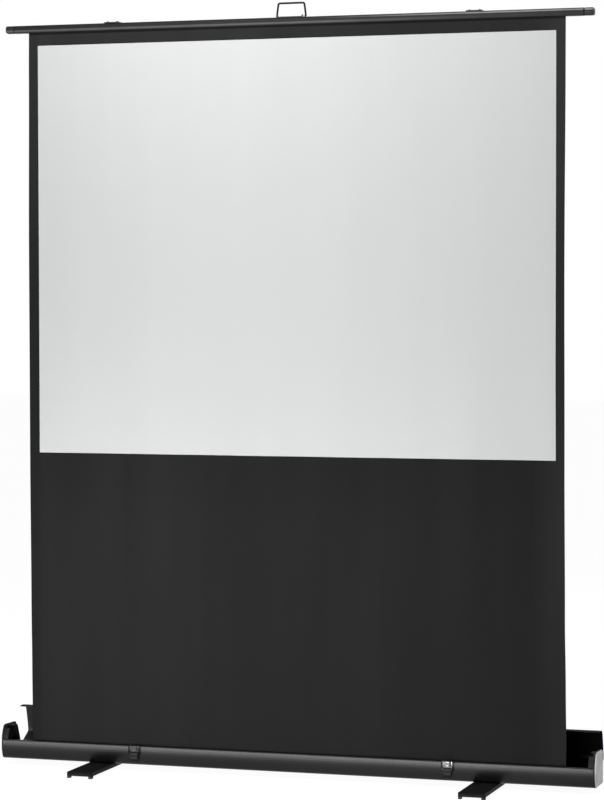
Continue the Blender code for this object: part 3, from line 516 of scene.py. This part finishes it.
def hanging(x, z):
    """Where a point of the hanging cloth is, from its place on the flat cloth."""
    if abs(x) > half_picture + 0.001:
        shift = edge_shift(z, 1 if x < 0 else 2)
    else:
        foot_share = held_share((PRINT_FOOT_TOP - z) / PRINT_FOOT_HEIGHT)
        right_shift = PRINT_SHIFT_RIGHT + PRINT_SHIFT_FOOT * foot_share
        across = (x / half_picture + 1) / 2
        shift = PRINT_SHIFT_LEFT + (right_shift - PRINT_SHIFT_LEFT) * across
    return (x + shift, FABRIC_FRONT + cloth_wave(x, z), z)


def cloth_mesh(name, columns, rows, place_of, finish, keep_cell=None):
    """A sheet on a grid of places on the flat cloth, given an even thickness."""
    shape = bmesh.new()
    grid = [[None] * len(rows) for _ in columns]
    layer = shape.loops.layers.uv.new("cloth")

    def point(i, j):
        if grid[i][j] is None:
            grid[i][j] = shape.verts.new(place_of(columns[i], rows[j]))
        return grid[i][j]

    for i in range(len(columns) - 1):
        for j in range(len(rows) - 1):
            middle = ((columns[i] + columns[i + 1]) / 2, (rows[j] + rows[j + 1]) / 2)
            if keep_cell is None or keep_cell(*middle):
                steps = ((i, j), (i + 1, j), (i + 1, j + 1), (i, j + 1))
                face = shape.faces.new([point(*step) for step in steps])
                for corner, (column, row) in zip(face.loops, steps):
                    corner[layer].uv = (columns[column], rows[row])
    data = finished_mesh(shape, name)
    data.materials.append(finish)
    made = bpy.data.objects.new(name, data)
    bpy.context.scene.collection.objects.link(made)
    wall = made.modifiers.new("thickness", "SOLIDIFY")
    wall.thickness = CLOTH_THICKNESS
    wall.offset = 0.0
    graph = bpy.context.evaluated_depsgraph_get()
    solid = bpy.data.meshes.new_from_object(made.evaluated_get(graph))
    made.modifiers.clear()
    made.data = solid
    solid.shade_smooth()
    solid.set_sharp_from_angle(angle=math.radians(40))
    return made


def reckoned(tree, operation, *values):
    """The result of a Math node, from sockets and numbers."""
    node = tree.nodes.new("ShaderNodeMath")
    node.operation = operation
    for socket, value in zip(node.inputs, values):
        if isinstance(value, float):
            socket.default_value = value
        else:
            tree.links.new(value, socket)
    return node.outputs["Value"]


def coated_cloth(name, colour, roughness, weave_depth, tone_and_fold_shade_share, gloss, painted_light_and_shade=()):
    """Coated plain weave: fine threads both ways, a soft upright cloudiness that also paints
    fold shade, a dull sheen, and painted light and shade from the given rows.
    """
    finish, tree, shader = start_finish(name, colour, roughness, gloss=gloss)
    place = tree.nodes.new("ShaderNodeUVMap")
    place.uv_map = "cloth"
    threads = []
    for direction in ("X", "Y"):
        wave = tree.nodes.new("ShaderNodeTexWave")
        wave.wave_type = "BANDS"
        wave.bands_direction = direction
        wave.inputs["Scale"].default_value = 520.0
        wave.inputs["Distortion"].default_value = 0.6
        wave.inputs["Detail"].default_value = 1.0
        tree.links.new(place.outputs["UV"], wave.inputs["Vector"])
        threads.append(wave.outputs["Fac"])
    weave = reckoned(tree, "MULTIPLY", *threads)
    # Upright cloudiness: random tone, and on the black cloth also painted shade of faint folds.
    cloud = stretched_noise(tree, size=1.9, detail=3.0, scale=(3.4, 1.0, 0.35))
    shade = clouded(tree, cloud, colour, 1.0 - tone_and_fold_shade_share, 1.0 + tone_and_fold_shade_share, 0.3, 0.7)
    flat = tree.nodes.new("ShaderNodeSeparateXYZ")
    tree.links.new(place.outputs["UV"], flat.inputs["Vector"])
    # Painted light and shade: each row scales the colour along one axis of the flat cloth.
    for axis, start, end, first, last in painted_light_and_shade:
        painted_factor = between(tree, flat.outputs[axis], first, last, start, end)
        shade = scaled(tree, shade, painted_factor)
    tree.links.new(shade, shader.inputs["Base Color"])
    smoothest, roughest = roughness - 0.06, roughness + 0.04
    set_surface(tree, shader, weave, smoothest, roughest, weave_depth, start=0.0, end=1.0)
    return finish


def outside_picture(x, z):
    return abs(x) > half_picture or not picture_low < z < picture_high


black_cloth = coated_cloth(
    "black_coated_cloth",
    CLOTH_BLACK,
    roughness=0.50,
    weave_depth=0.00008,
    # Strong upright cloudiness here is painted shade of faint folds.
    tone_and_fold_shade_share=0.13,
    gloss=0.04,
    painted_light_and_shade=CLOTH_PAINTED_LIGHT_AND_SHADE,
)
cloth_columns = steps_through(
    (-FABRIC_HALF, -half_picture, half_picture, FABRIC_HALF), CLOTH_CELL[0]
)
cloth_rows = steps_through(
    (FABRIC_ENDS[0], picture_low, picture_high, FABRIC_ENDS[1]), CLOTH_CELL[1]
)
masking = cloth_mesh(
    "masking_cloth", cloth_columns, cloth_rows, hanging, black_cloth, outside_picture
)
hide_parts("black_masking")
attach(masking, "case")
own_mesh(masking)


# Wound cloth
# The cloth goes on down from the hanging sheet and nearly once round the roller, drawing in
# from the hanging plane to the tube.
ROLLER_PLACE = (-0.020, 0.0525)
WOUND_RADIUS = (0.0150, 0.0147)
WOUND_LENGTH = 0.078
WOUND_CELL = (0.060, 0.0025)


def wound(x, run):
    """Where a point of the cloth lies on the roller, by its run along the cloth."""
    first, last = WOUND_RADIUS
    radius = first + (last - first) * run / WOUND_LENGTH
    angle = math.pi + run / ((first + last) / 2)
    y, z = ROLLER_PLACE
    return (x, y + radius * math.cos(angle), z + radius * math.sin(angle))


wound_cloth = cloth_mesh(
    "wound_cloth",
    steps_through((-FABRIC_HALF, FABRIC_HALF), WOUND_CELL[0]),
    steps_through((0.0, WOUND_LENGTH), WOUND_CELL[1]),
    wound,
    black_cloth,
)
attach(wound_cloth, "case")


# Picture surface
# The picture area is matt white, coated on the same cloth, so it follows the same faint
# waves and meets the black edge to edge. Its back has the black coat that keeps light out.
PICTURE_WHITE = (0.7215, 0.730, 0.730)
BACK_BLACK = tinted(CLOTH_BLACK, 0.5)


def two_sided_cloth():
    """White coated cloth, with the black coat on faces that look to the rear."""
    finish = coated_cloth(
        "white_coated_cloth",
        PICTURE_WHITE,
        roughness=0.80,
        weave_depth=0.00005,
        tone_and_fold_shade_share=0.012,
        gloss=0.20,
    )
    tree = finish.node_tree
    base = tree.nodes["Principled BSDF"].inputs["Base Color"]
    front = base.links[0].from_socket
    back = tree.nodes.new("ShaderNodeRGB").outputs["Color"]
    back.default_value = (*BACK_BLACK, 1.0)
    rearwards = between(tree, texture_axes(tree, "Normal")["Y"], 0.0, 1.0, 0.3, 0.5)
    tree.links.new(mixed(tree, rearwards, front, back), base)
    return finish


picture = cloth_mesh(
    "picture_cloth",
    [x for x in cloth_columns if abs(x) <= half_picture + 1e-6],
    [z for z in cloth_rows if picture_low - 1e-6 <= z <= picture_high + 1e-6],
    hanging,
    two_sided_cloth(),
)
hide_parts("projection_surface")
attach(picture, "case")
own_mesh(picture)


# Lifting arms
# Flat bars of black anodised aluminium, grooved along both faces. Plated pins join them,
# with a plastic washer in each knee.
ARM_BLACK = (0.018, 0.018, 0.020)

arm_finish = anodised("arm_aluminium", ARM_BLACK, roughness=0.36, metallic=0.6)
for side in ("left", "right"):
    dress(arm_finish, f"lower_arm_{side}", f"upper_arm_{side}")
    dress(zinc_finish, f"knee_pin_{side}", f"base_pin_{side}", f"bar_pin_{side}")
    dress(zinc_finish, f"arm_base_{side}")
    dress(cap_finish, f"knee_washer_{side}")


# Arm base screws
# Two countersunk screws of plated steel hold each arm's bracket to the case floor. They sit
# in the sinks of its flange.
BASE_SCREW_REACH = 0.015
BASE_SCREW_HEIGHT = 0.0218
LEFT_SCREW_SETBACK = 0.0155
RIGHT_SCREW_SETBACK = 0.01675

base_screw_places = []
for arm_base, screw_line in (
    ("arm_base_left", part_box("arm_base_left")[1].y - LEFT_SCREW_SETBACK),
    ("arm_base_right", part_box("arm_base_right")[0].y + RIGHT_SCREW_SETBACK),
):
    low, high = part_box(arm_base)
    flange_middle = (low.x + high.x) / 2
    for reach in (-BASE_SCREW_REACH, BASE_SCREW_REACH):
        base_screw_places.append((flange_middle + reach, screw_line, BASE_SCREW_HEIGHT))
base_screws = placed_copies(
    "arm_base_screws",
    screw_head("arm_base_screw_head", radius=0.0034, height=0.0012),
    base_screw_places,
    (0.0, 0.0, 0.3),
    screw_finish,
)
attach(base_screws, "case")


# Top bar
# A slotted tube, black anodised, that holds the cloth's upper edge. Its face has painted
# highlights, a light stripe low down at the left that gives way to a light band high up at
# the right. The steel straps that carry the arms are powder coated.
BAR_BLACK = (0.028, 0.028, 0.029)
BAR_HEIGHTS = (2.2245, 2.2470)
BAR_SHIFT = 0.0035
# Where along X the painted highlights change from the left greys to the right ones.
BAR_HIGHLIGHT_CHANGE = (0.10, 0.60)
# Painted highlights: greys up the bar's face at its left and its right, each at a share of
# the height.
BAR_LEFT_HIGHLIGHTS = (
    (0.0, 0.040), (0.12, 0.040), (0.18, 0.100), (0.34, 0.100), (0.43, 0.022), (1.0, 0.012),
)
BAR_RIGHT_HIGHLIGHTS = (
    (0.0, 0.034), (0.45, 0.040), (0.64, 0.026), (0.70, 0.300), (0.82, 0.300), (0.88, 0.075),
)
# Painted shade in each plug's neck: where it fades along X, and the factors inside and beyond.
NECK_END = (0.8806, 0.8814)
NECK_PAINTED_SHADE = (0.25, 1.15)
STRAP_BLACK = (0.014, 0.014, 0.015)


def powder_coated(name, colour, roughness, gloss=0.5):
    """Powder coat: a low orange peel, with the sheen varying a little over it."""
    finish, tree, shader = start_finish(name, colour, roughness, gloss=gloss)
    cloud = stretched_noise(tree, size=14.0, detail=3.0)
    shade = clouded(tree, cloud, colour, darkest=0.88, lightest=1.14)
    tree.links.new(shade, shader.inputs["Base Color"])
    peel = stretched_noise(tree, size=420.0, detail=2.0)
    set_surface(tree, shader, peel, roughness - 0.04, roughness + 0.05, depth=0.00006)
    return finish


def grey_ramp(tree, height, stops):
    """Greys from stops of height and grey, with a trace of blue in each."""
    ramp = tree.nodes.new("ShaderNodeValToRGB")
    while len(ramp.color_ramp.elements) < len(stops):
        ramp.color_ramp.elements.new(1.0)
    for element, (position, grey) in zip(ramp.color_ramp.elements, stops):
        element.position = position
        element.color = (grey, grey, grey * 1.02, 1.0)
    tree.links.new(height, ramp.inputs["Fac"])
    return ramp.outputs["Color"]


def painted_highlight_bands(name, roughness, gloss):
    """The bar's black finish, with a painted highlight stripe low on it that gives way to one
    high up.
    """
    finish, tree, shader = start_finish(name, BAR_BLACK, roughness, gloss=gloss)
    axes = texture_axes(tree, "Object")
    height = between(tree, axes["Z"], 0.0, 1.0, *BAR_HEIGHTS)
    left, right = grey_ramp(tree, height, BAR_LEFT_HIGHLIGHTS), grey_ramp(tree, height, BAR_RIGHT_HIGHLIGHTS)
    # Painted highlights: the left greys give way to the right ones along X.
    painted_highlights = mixed(tree, between(tree, axes["X"], 0.0, 1.0, *BAR_HIGHLIGHT_CHANGE), left, right)
    cloud = stretched_noise(tree, size=11.0, detail=4.0, scale=(1.5, 1.0, 1.0))
    shade = scaled(tree, painted_highlights, between(tree, cloud, 0.86, 1.14))
    tree.links.new(shade, shader.inputs["Base Color"])
    set_surface(tree, shader, die_lines(tree), roughness - 0.03, roughness + 0.03, 0.00002)
    return finish


def paint_neck_shade(finish):
    """Paints shade on each plug in the narrow neck where it enters the bar, and makes the plug a
    little lighter beyond it.
    """
    tree = finish.node_tree
    base = tree.nodes["Principled BSDF"].inputs["Base Color"]
    along = reckoned(tree, "SUBTRACT", texture_axes(tree, "Object")["X"], BAR_SHIFT)
    from_middle = reckoned(tree, "ABSOLUTE", along)
    # Painted shade in the neck, a little lighter beyond it.
    shade = between(tree, from_middle, *NECK_PAINTED_SHADE, *NECK_END)
    tree.links.new(scaled(tree, base.links[0].from_socket, shade), base)


bar_finish = painted_highlight_bands("bar_aluminium", roughness=0.46, gloss=0.10)
# The plugs carry the same painted highlights.
bar_cap_finish = painted_highlight_bands("bar_cap_plastic", roughness=0.52, gloss=0.20)
paint_neck_shade(bar_cap_finish)
strap_finish = powder_coated("powder_coat", STRAP_BLACK, roughness=0.40)
dress(bar_finish, "top_bar")
dress(bar_cap_finish, "bar_cap_left", "bar_cap_right")
dress(strap_finish, "bar_bracket_left", "bar_bracket_right", "handle_clip")
dress(plate_finish, "fabric_rod")


# Strap screws
# Two pan-head screws, painted black with the strap, go down through each strap into the top
# of the bar.
STRAP_REACH = 0.559
STRAP_SCREW_REACH = 0.0150
STRAP_SCREW_DEPTH = -0.0255
STRAP_TOP = 2.2498

strap_screw_places = []
for strap_middle in (-STRAP_REACH, STRAP_REACH):
    for reach in (-STRAP_SCREW_REACH, STRAP_SCREW_REACH):
        strap_screw_places.append((strap_middle + reach, STRAP_SCREW_DEPTH, STRAP_TOP))
strap_screws = placed_copies(
    "strap_screws",
    screw_head("strap_screw_head", radius=0.0040, height=0.0026),
    strap_screw_places,
    (0.0, 0.0, 0.5),
    strap_finish,
)
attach(strap_screws, "top_bar")


# Handle
# A bent wire bail, painted black, sprung into the two knuckles of its clip. Its legs lean in
# a little towards the top, and its corners are rounded.
HANDLE_BLACK = (0.005, 0.005, 0.0052)
HANDLE_MIDDLE = (0.0046, -0.0255)
HANDLE_WIRE = 0.0029
HANDLE_SIDES = 16
HANDLE_FOOT = (0.0445, 2.2500)
HANDLE_TOP = (0.0405, 2.2885)
HANDLE_CORNER = 0.0055
CORNER_STEPS = 6
# How the wire turns out of the knuckle, from the foot of the leg.
HANDLE_HOOK = ((-0.0035, 0.0), (-0.0010, 0.0001), (0.0, 0.0012), (-0.0001, 0.0035))


def bail_path():
    """Points along the bail in its own plane, from one knuckle over the top to the other."""
    foot_x, foot_z = HANDLE_FOOT
    top_x, top_z = HANDLE_TOP
    half = [(foot_x + x, foot_z + z) for x, z in HANDLE_HOOK]
    for i in range(CORNER_STEPS + 1):
        angle = math.pi / 2 * i / CORNER_STEPS
        half.append((
            top_x - HANDLE_CORNER * (1 - math.cos(angle)),
            top_z - HANDLE_CORNER * (1 - math.sin(angle)),
        ))
    return half + [(0.0, top_z)] + [(-x, z) for x, z in reversed(half)]


def bent_wire(name, path, radius, sides):
    """A round wire along a path in a plane of constant Y, with closed ends."""
    shape = bmesh.new()
    rings = []
    for i, (x, z) in enumerate(path):
        before, after = path[max(0, i - 1)], path[min(len(path) - 1, i + 1)]
        way = Vector((after[0] - before[0], 0.0, after[1] - before[1])).normalized()
        out = Vector((way.z, 0.0, -way.x))
        middle = Vector((HANDLE_MIDDLE[0] + x, HANDLE_MIDDLE[1], z))
        ring = []
        for side in range(sides):
            angle = math.tau * side / sides
            offset = out * (radius * math.cos(angle))
            offset += Vector((0.0, radius * math.sin(angle), 0.0))
            ring.append(shape.verts.new(middle + offset))
        rings.append(ring)
    join_rings(shape, rings)
    shape.faces.new(rings[-1])
    bmesh.ops.recalc_face_normals(shape, faces=shape.faces)
    data = finished_mesh(shape, name)
    data.shade_smooth()
    data.set_sharp_from_angle(angle=math.radians(50))
    made = bpy.data.objects.new(name, data)
    bpy.context.scene.collection.objects.link(made)
    return made


handle_finish = powder_coated("handle_paint", HANDLE_BLACK, roughness=0.40, gloss=0.12)
handle_wire = bent_wire("handle_wire", bail_path(), HANDLE_WIRE, HANDLE_SIDES)
handle_wire.data.materials.append(handle_finish)
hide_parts("handle")
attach(handle_wire, "handle")


# Feet
# Pressed steel channels, powder coated, that swivel under the case. Rubber blocks fill
# their corners and stand on the floor.
FOOT_BLACK = (0.0075, 0.0075, 0.008)
RUBBER_BLACK = (0.012, 0.012, 0.012)

foot_finish = powder_coated("foot_powder_coat", FOOT_BLACK, roughness=0.50, gloss=0.03)
rubber_finish = moulded("black_rubber", RUBBER_BLACK, roughness=0.70, grain=0.00008)
for side in ("left", "right"):
    dress(foot_finish, f"foot_{side}")
    dress(zinc_finish, f"foot_pivot_{side}")
    for end in ("front", "rear"):
        dress(rubber_finish, f"foot_pad_{side}_{end}_a", f"foot_pad_{side}_{end}_b")


# Foot rivets
# A plated rivet, almost flush with the top of each channel, holds the stop that sets the
# foot's open position. Its head is a low dome with a small punched centre.
FOOT_RIVETS = ((-0.6052, -0.0520, 0.0180), (0.5938, -0.0520, 0.0180))
RIVET_SIDES = 20
# The dome's rings and its punched centre, in shares of the head's radius and height.
RIVET_DOME = ((1.0, 0.0), (0.95, 0.45), (0.72, 0.88), (0.42, 1.0), (0.26, 1.0), (0.16, 0.55))


def rivet_head(name, radius, height):
    """A low domed rivet head with a small punched centre, standing on Z = 0."""
    shape = bmesh.new()
    rings = turned_dome(shape, RIVET_DOME, radius, height, RIVET_SIDES)
    shape.faces.new(rings[-1])
    return finished_mesh(shape, name)


for side, place in zip(("left", "right"), FOOT_RIVETS):
    rivet = placed_copies(
        f"foot_rivet_{side}",
        rivet_head("foot_rivet_head", radius=0.0040, height=0.0005),
        [place],
        (0.0, 0.0, 0.0),
        screw_finish,
    )
    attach(rivet, f"foot_{side}")


# Draw latches
# Plated base plates with pressed ribs, and black painted levers. The right plate and its ribs
# are a lit copy and the left ones a darker shaded copy, painted light and shade, and the ribs
# and bead are painted highlights. A black strip on each plate is painted shade of a slot.
# The blackened wire loops draw on keepers on the lid.
# Lit copies on the right and shaded copies on the left: painted light and shade. The rib colours
# are painted highlights.
LIT_RIB_HIGHLIGHT = (0.62, 0.62, 0.63)
SHADED_RIB_HIGHLIGHT = (0.085, 0.085, 0.087)
LIT_PLATE = (0.065, 0.065, 0.067)
SHADED_PLATE = (0.022, 0.022, 0.023)
LOOP_BLACK = (0.012, 0.012, 0.0125)
LEVER_BLACK = (0.005, 0.005, 0.0053)
ACROSS = (math.pi / 2, 0.0, 0.0)
UPRIGHT = (math.pi / 2, math.pi / 2, 0.0)
# Each size is a length, a width and a height. X in a place is from the plate's middle.
RIB_SIZE = (0.0100, 0.0026, 0.0014)
RIB_PLACES = ((-0.001, -0.0560, 0.0757), (-0.001, -0.0565, 0.0648))
BEAD_SIZE = (0.0090, 0.0024, 0.0014)
BEAD_PLACES = ((0.0125, -0.0561, 0.0738),)
# A thin black strip on the plate, as painted shade where a slot would be.
SHADE_STRIP_SIZE = (0.0140, 0.0046, 0.0010)
SHADE_STRIP_PLACES = ((0.0078, -0.0562, 0.0710),)
RIB_SIDES = 16
# How far each ring of a rib is drawn in and raised, in shares of its half width and height.
RIB_ROUNDING = ((0.0, 0.0), (0.08, 0.5), (0.35, 0.88), (0.65, 1.0))


def pressed_rib(name, length, width, height):
    """A rounded rib, standing on Z = 0 and lying along X."""
    shape = bmesh.new()
    rings = []
    for inset, rise in RIB_ROUNDING:
        radius = width / 2 * (1 - inset)
        ring = []
        for i in range(RIB_SIDES):
            angle = math.tau * (i + 0.5) / RIB_SIDES
            end = math.copysign(length / 2 - width / 2, math.cos(angle))
            x, y = end + radius * math.cos(angle), radius * math.sin(angle)
            ring.append(shape.verts.new((x, y, height * rise)))
        rings.append(ring)
    join_rings(shape, rings)
    shape.faces.new(rings[-1])
    return finished_mesh(shape, name)


lit_rib_highlight_finish = plated("lit_rib_highlight", LIT_RIB_HIGHLIGHT, roughness=0.26)
shaded_rib_highlight_finish = plated("shaded_rib_highlight", SHADED_RIB_HIGHLIGHT, roughness=0.30)
lit_plate_finish = plated("lit_plate", LIT_PLATE, roughness=0.30)
shaded_plate_finish = plated("shaded_plate", SHADED_PLATE, roughness=0.36)
loop_finish = plated("blackened_wire", LOOP_BLACK, roughness=0.34)
lever_finish = powder_coated("lever_paint", LEVER_BLACK, roughness=0.36, gloss=0.13)
for side, base_finish, rib_finish in (
    ("left", shaded_plate_finish, shaded_rib_highlight_finish),
    ("right", lit_plate_finish, lit_rib_highlight_finish),
):
    dress(base_finish, f"latch_base_{side}")
    dress(loop_finish, f"latch_loop_{side}", f"lid_keeper_{side}")
    dress(lever_finish, f"latch_lever_{side}")
    low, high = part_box(f"latch_base_{side}")
    middle = (low.x + high.x) / 2
    # The ribs and bead carry painted highlights, and the black strip is painted shade.
    for detail, places, size, turned_by, detail_finish in (
        ("ribs", RIB_PLACES, RIB_SIZE, ACROSS, rib_finish),
        ("bead", BEAD_PLACES, BEAD_SIZE, UPRIGHT, rib_finish),
        ("tongue", SHADE_STRIP_PLACES, SHADE_STRIP_SIZE, UPRIGHT, lever_finish),
    ):
        made = placed_copies(
            f"latch_{detail}_{side}",
            pressed_rib("latch_" + detail, *size),
            [(middle + x, y, z) for x, y, z in places],
            turned_by,
            detail_finish,
        )
        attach(made, "case")


# Floor and light
# A pale floor meets a white surround under an even sky. A soft lamp hangs before the top
# edge, a low one gives the case its highlight, a slim one lights the floor before it, and
# two more stand at the side and the rear.
SKY_LIGHT = 0.20
SKY_SEEN = 1.0
WHITE = (1.0, 1.0, 1.0, 1.0)
FLOOR_GREY = (0.24, 0.24, 0.24, 1.0)
FLOOR_GLOW = 0.93
FLOOR_REACH = 30.0


def seen_ray(tree):
    """1 for rays that the camera, metal or glass sends, and 0 for the rest."""
    path = tree.nodes.new("ShaderNodeLightPath").outputs
    metal = reckoned(tree, "MAXIMUM", path["Is Camera Ray"], path["Is Glossy Ray"])
    return reckoned(tree, "MAXIMUM", metal, path["Is Transmission Ray"])


world = bpy.data.worlds.new("surround")
bpy.context.scene.world = world
world.use_nodes = True
sky = world.node_tree
sky.nodes.clear()
sky_out = sky.nodes.new("ShaderNodeOutputWorld")
sky_mix = sky.nodes.new("ShaderNodeMixShader")
sky.links.new(seen_ray(sky), sky_mix.inputs["Fac"])
for socket, strength in ((sky_mix.inputs[1], SKY_LIGHT), (sky_mix.inputs[2], SKY_SEEN)):
    glow = sky.nodes.new("ShaderNodeBackground")
    glow.inputs["Color"].default_value = WHITE
    glow.inputs["Strength"].default_value = strength
    sky.links.new(glow.outputs["Background"], socket)
sky.links.new(sky_mix.outputs["Shader"], sky_out.inputs["Surface"])

floor_finish = bpy.data.materials.new("pale_floor")
floor_finish.use_nodes = True
floor_tree = floor_finish.node_tree
floor_tree.nodes.clear()
floor_out = floor_tree.nodes.new("ShaderNodeOutputMaterial")
floor_body = floor_tree.nodes.new("ShaderNodeBsdfDiffuse")
floor_body.inputs["Color"].default_value = FLOOR_GREY
floor_glow = floor_tree.nodes.new("ShaderNodeEmission")
floor_glow.inputs["Color"].default_value = WHITE
floor_lift = reckoned(floor_tree, "MULTIPLY", seen_ray(floor_tree), FLOOR_GLOW)
floor_tree.links.new(floor_lift, floor_glow.inputs["Strength"])
floor_sum = floor_tree.nodes.new("ShaderNodeAddShader")
floor_tree.links.new(floor_body.outputs["BSDF"], floor_sum.inputs[0])
floor_tree.links.new(floor_glow.outputs["Emission"], floor_sum.inputs[1])
floor_tree.links.new(floor_sum.outputs["Shader"], floor_out.inputs["Surface"])

floor_mesh = bpy.data.meshes.new("floor")
floor_corners = [
    (x * FLOOR_REACH, y * FLOOR_REACH, 0.0) for x, y in ((-1, -1), (1, -1), (1, 1), (-1, 1))
]
floor_mesh.from_pydata(floor_corners, [], [(0, 1, 2, 3)])
floor_mesh.materials.append(floor_finish)
floor = bpy.data.objects.new("floor", floor_mesh)
bpy.context.scene.collection.objects.link(floor)


def soft_lamp(name, place, aim, width, height, power):
    """An area lamp of a power in watts, aimed at a point and unseen by the camera."""
    lamp = bpy.data.lights.new(name, "AREA")
    lamp.shape = "RECTANGLE"
    lamp.size = width
    lamp.size_y = height
    lamp.energy = power
    made = bpy.data.objects.new(name, lamp)
    made.visible_camera = False
    bpy.context.scene.collection.objects.link(made)
    way = Vector(aim) - Vector(place)
    made.matrix_world = (
        Matrix.Translation(place) @ way.to_track_quat("-Z", "Y").to_matrix().to_4x4()
    )


soft_lamp("key_lamp", (-0.50, -1.70, 3.00), (1.00, 0.0, 2.60), 1.0, 1.0, power=41.0)
soft_lamp("low_lamp", (-0.50, -1.60, 0.14), (-0.50, 0.0, 0.14), 2.5, 0.26, power=30.5)
soft_lamp("floor_lamp", (-0.13, -0.36, 0.024), (-0.13, 0.0, 0.024), 2.02, 0.04, power=1.4)
soft_lamp("side_lamp", (5.0, -1.5, 2.2), (0.5, 0.0, 0.8), 1.8, 2.0, power=42.0)
soft_lamp("rear_lamp", (1.5, 4.5, 3.5), (0.0, 0.0, 1.0), 2.5, 1.5, power=25.0)

bpy.context.scene.view_settings.view_transform = "Standard"
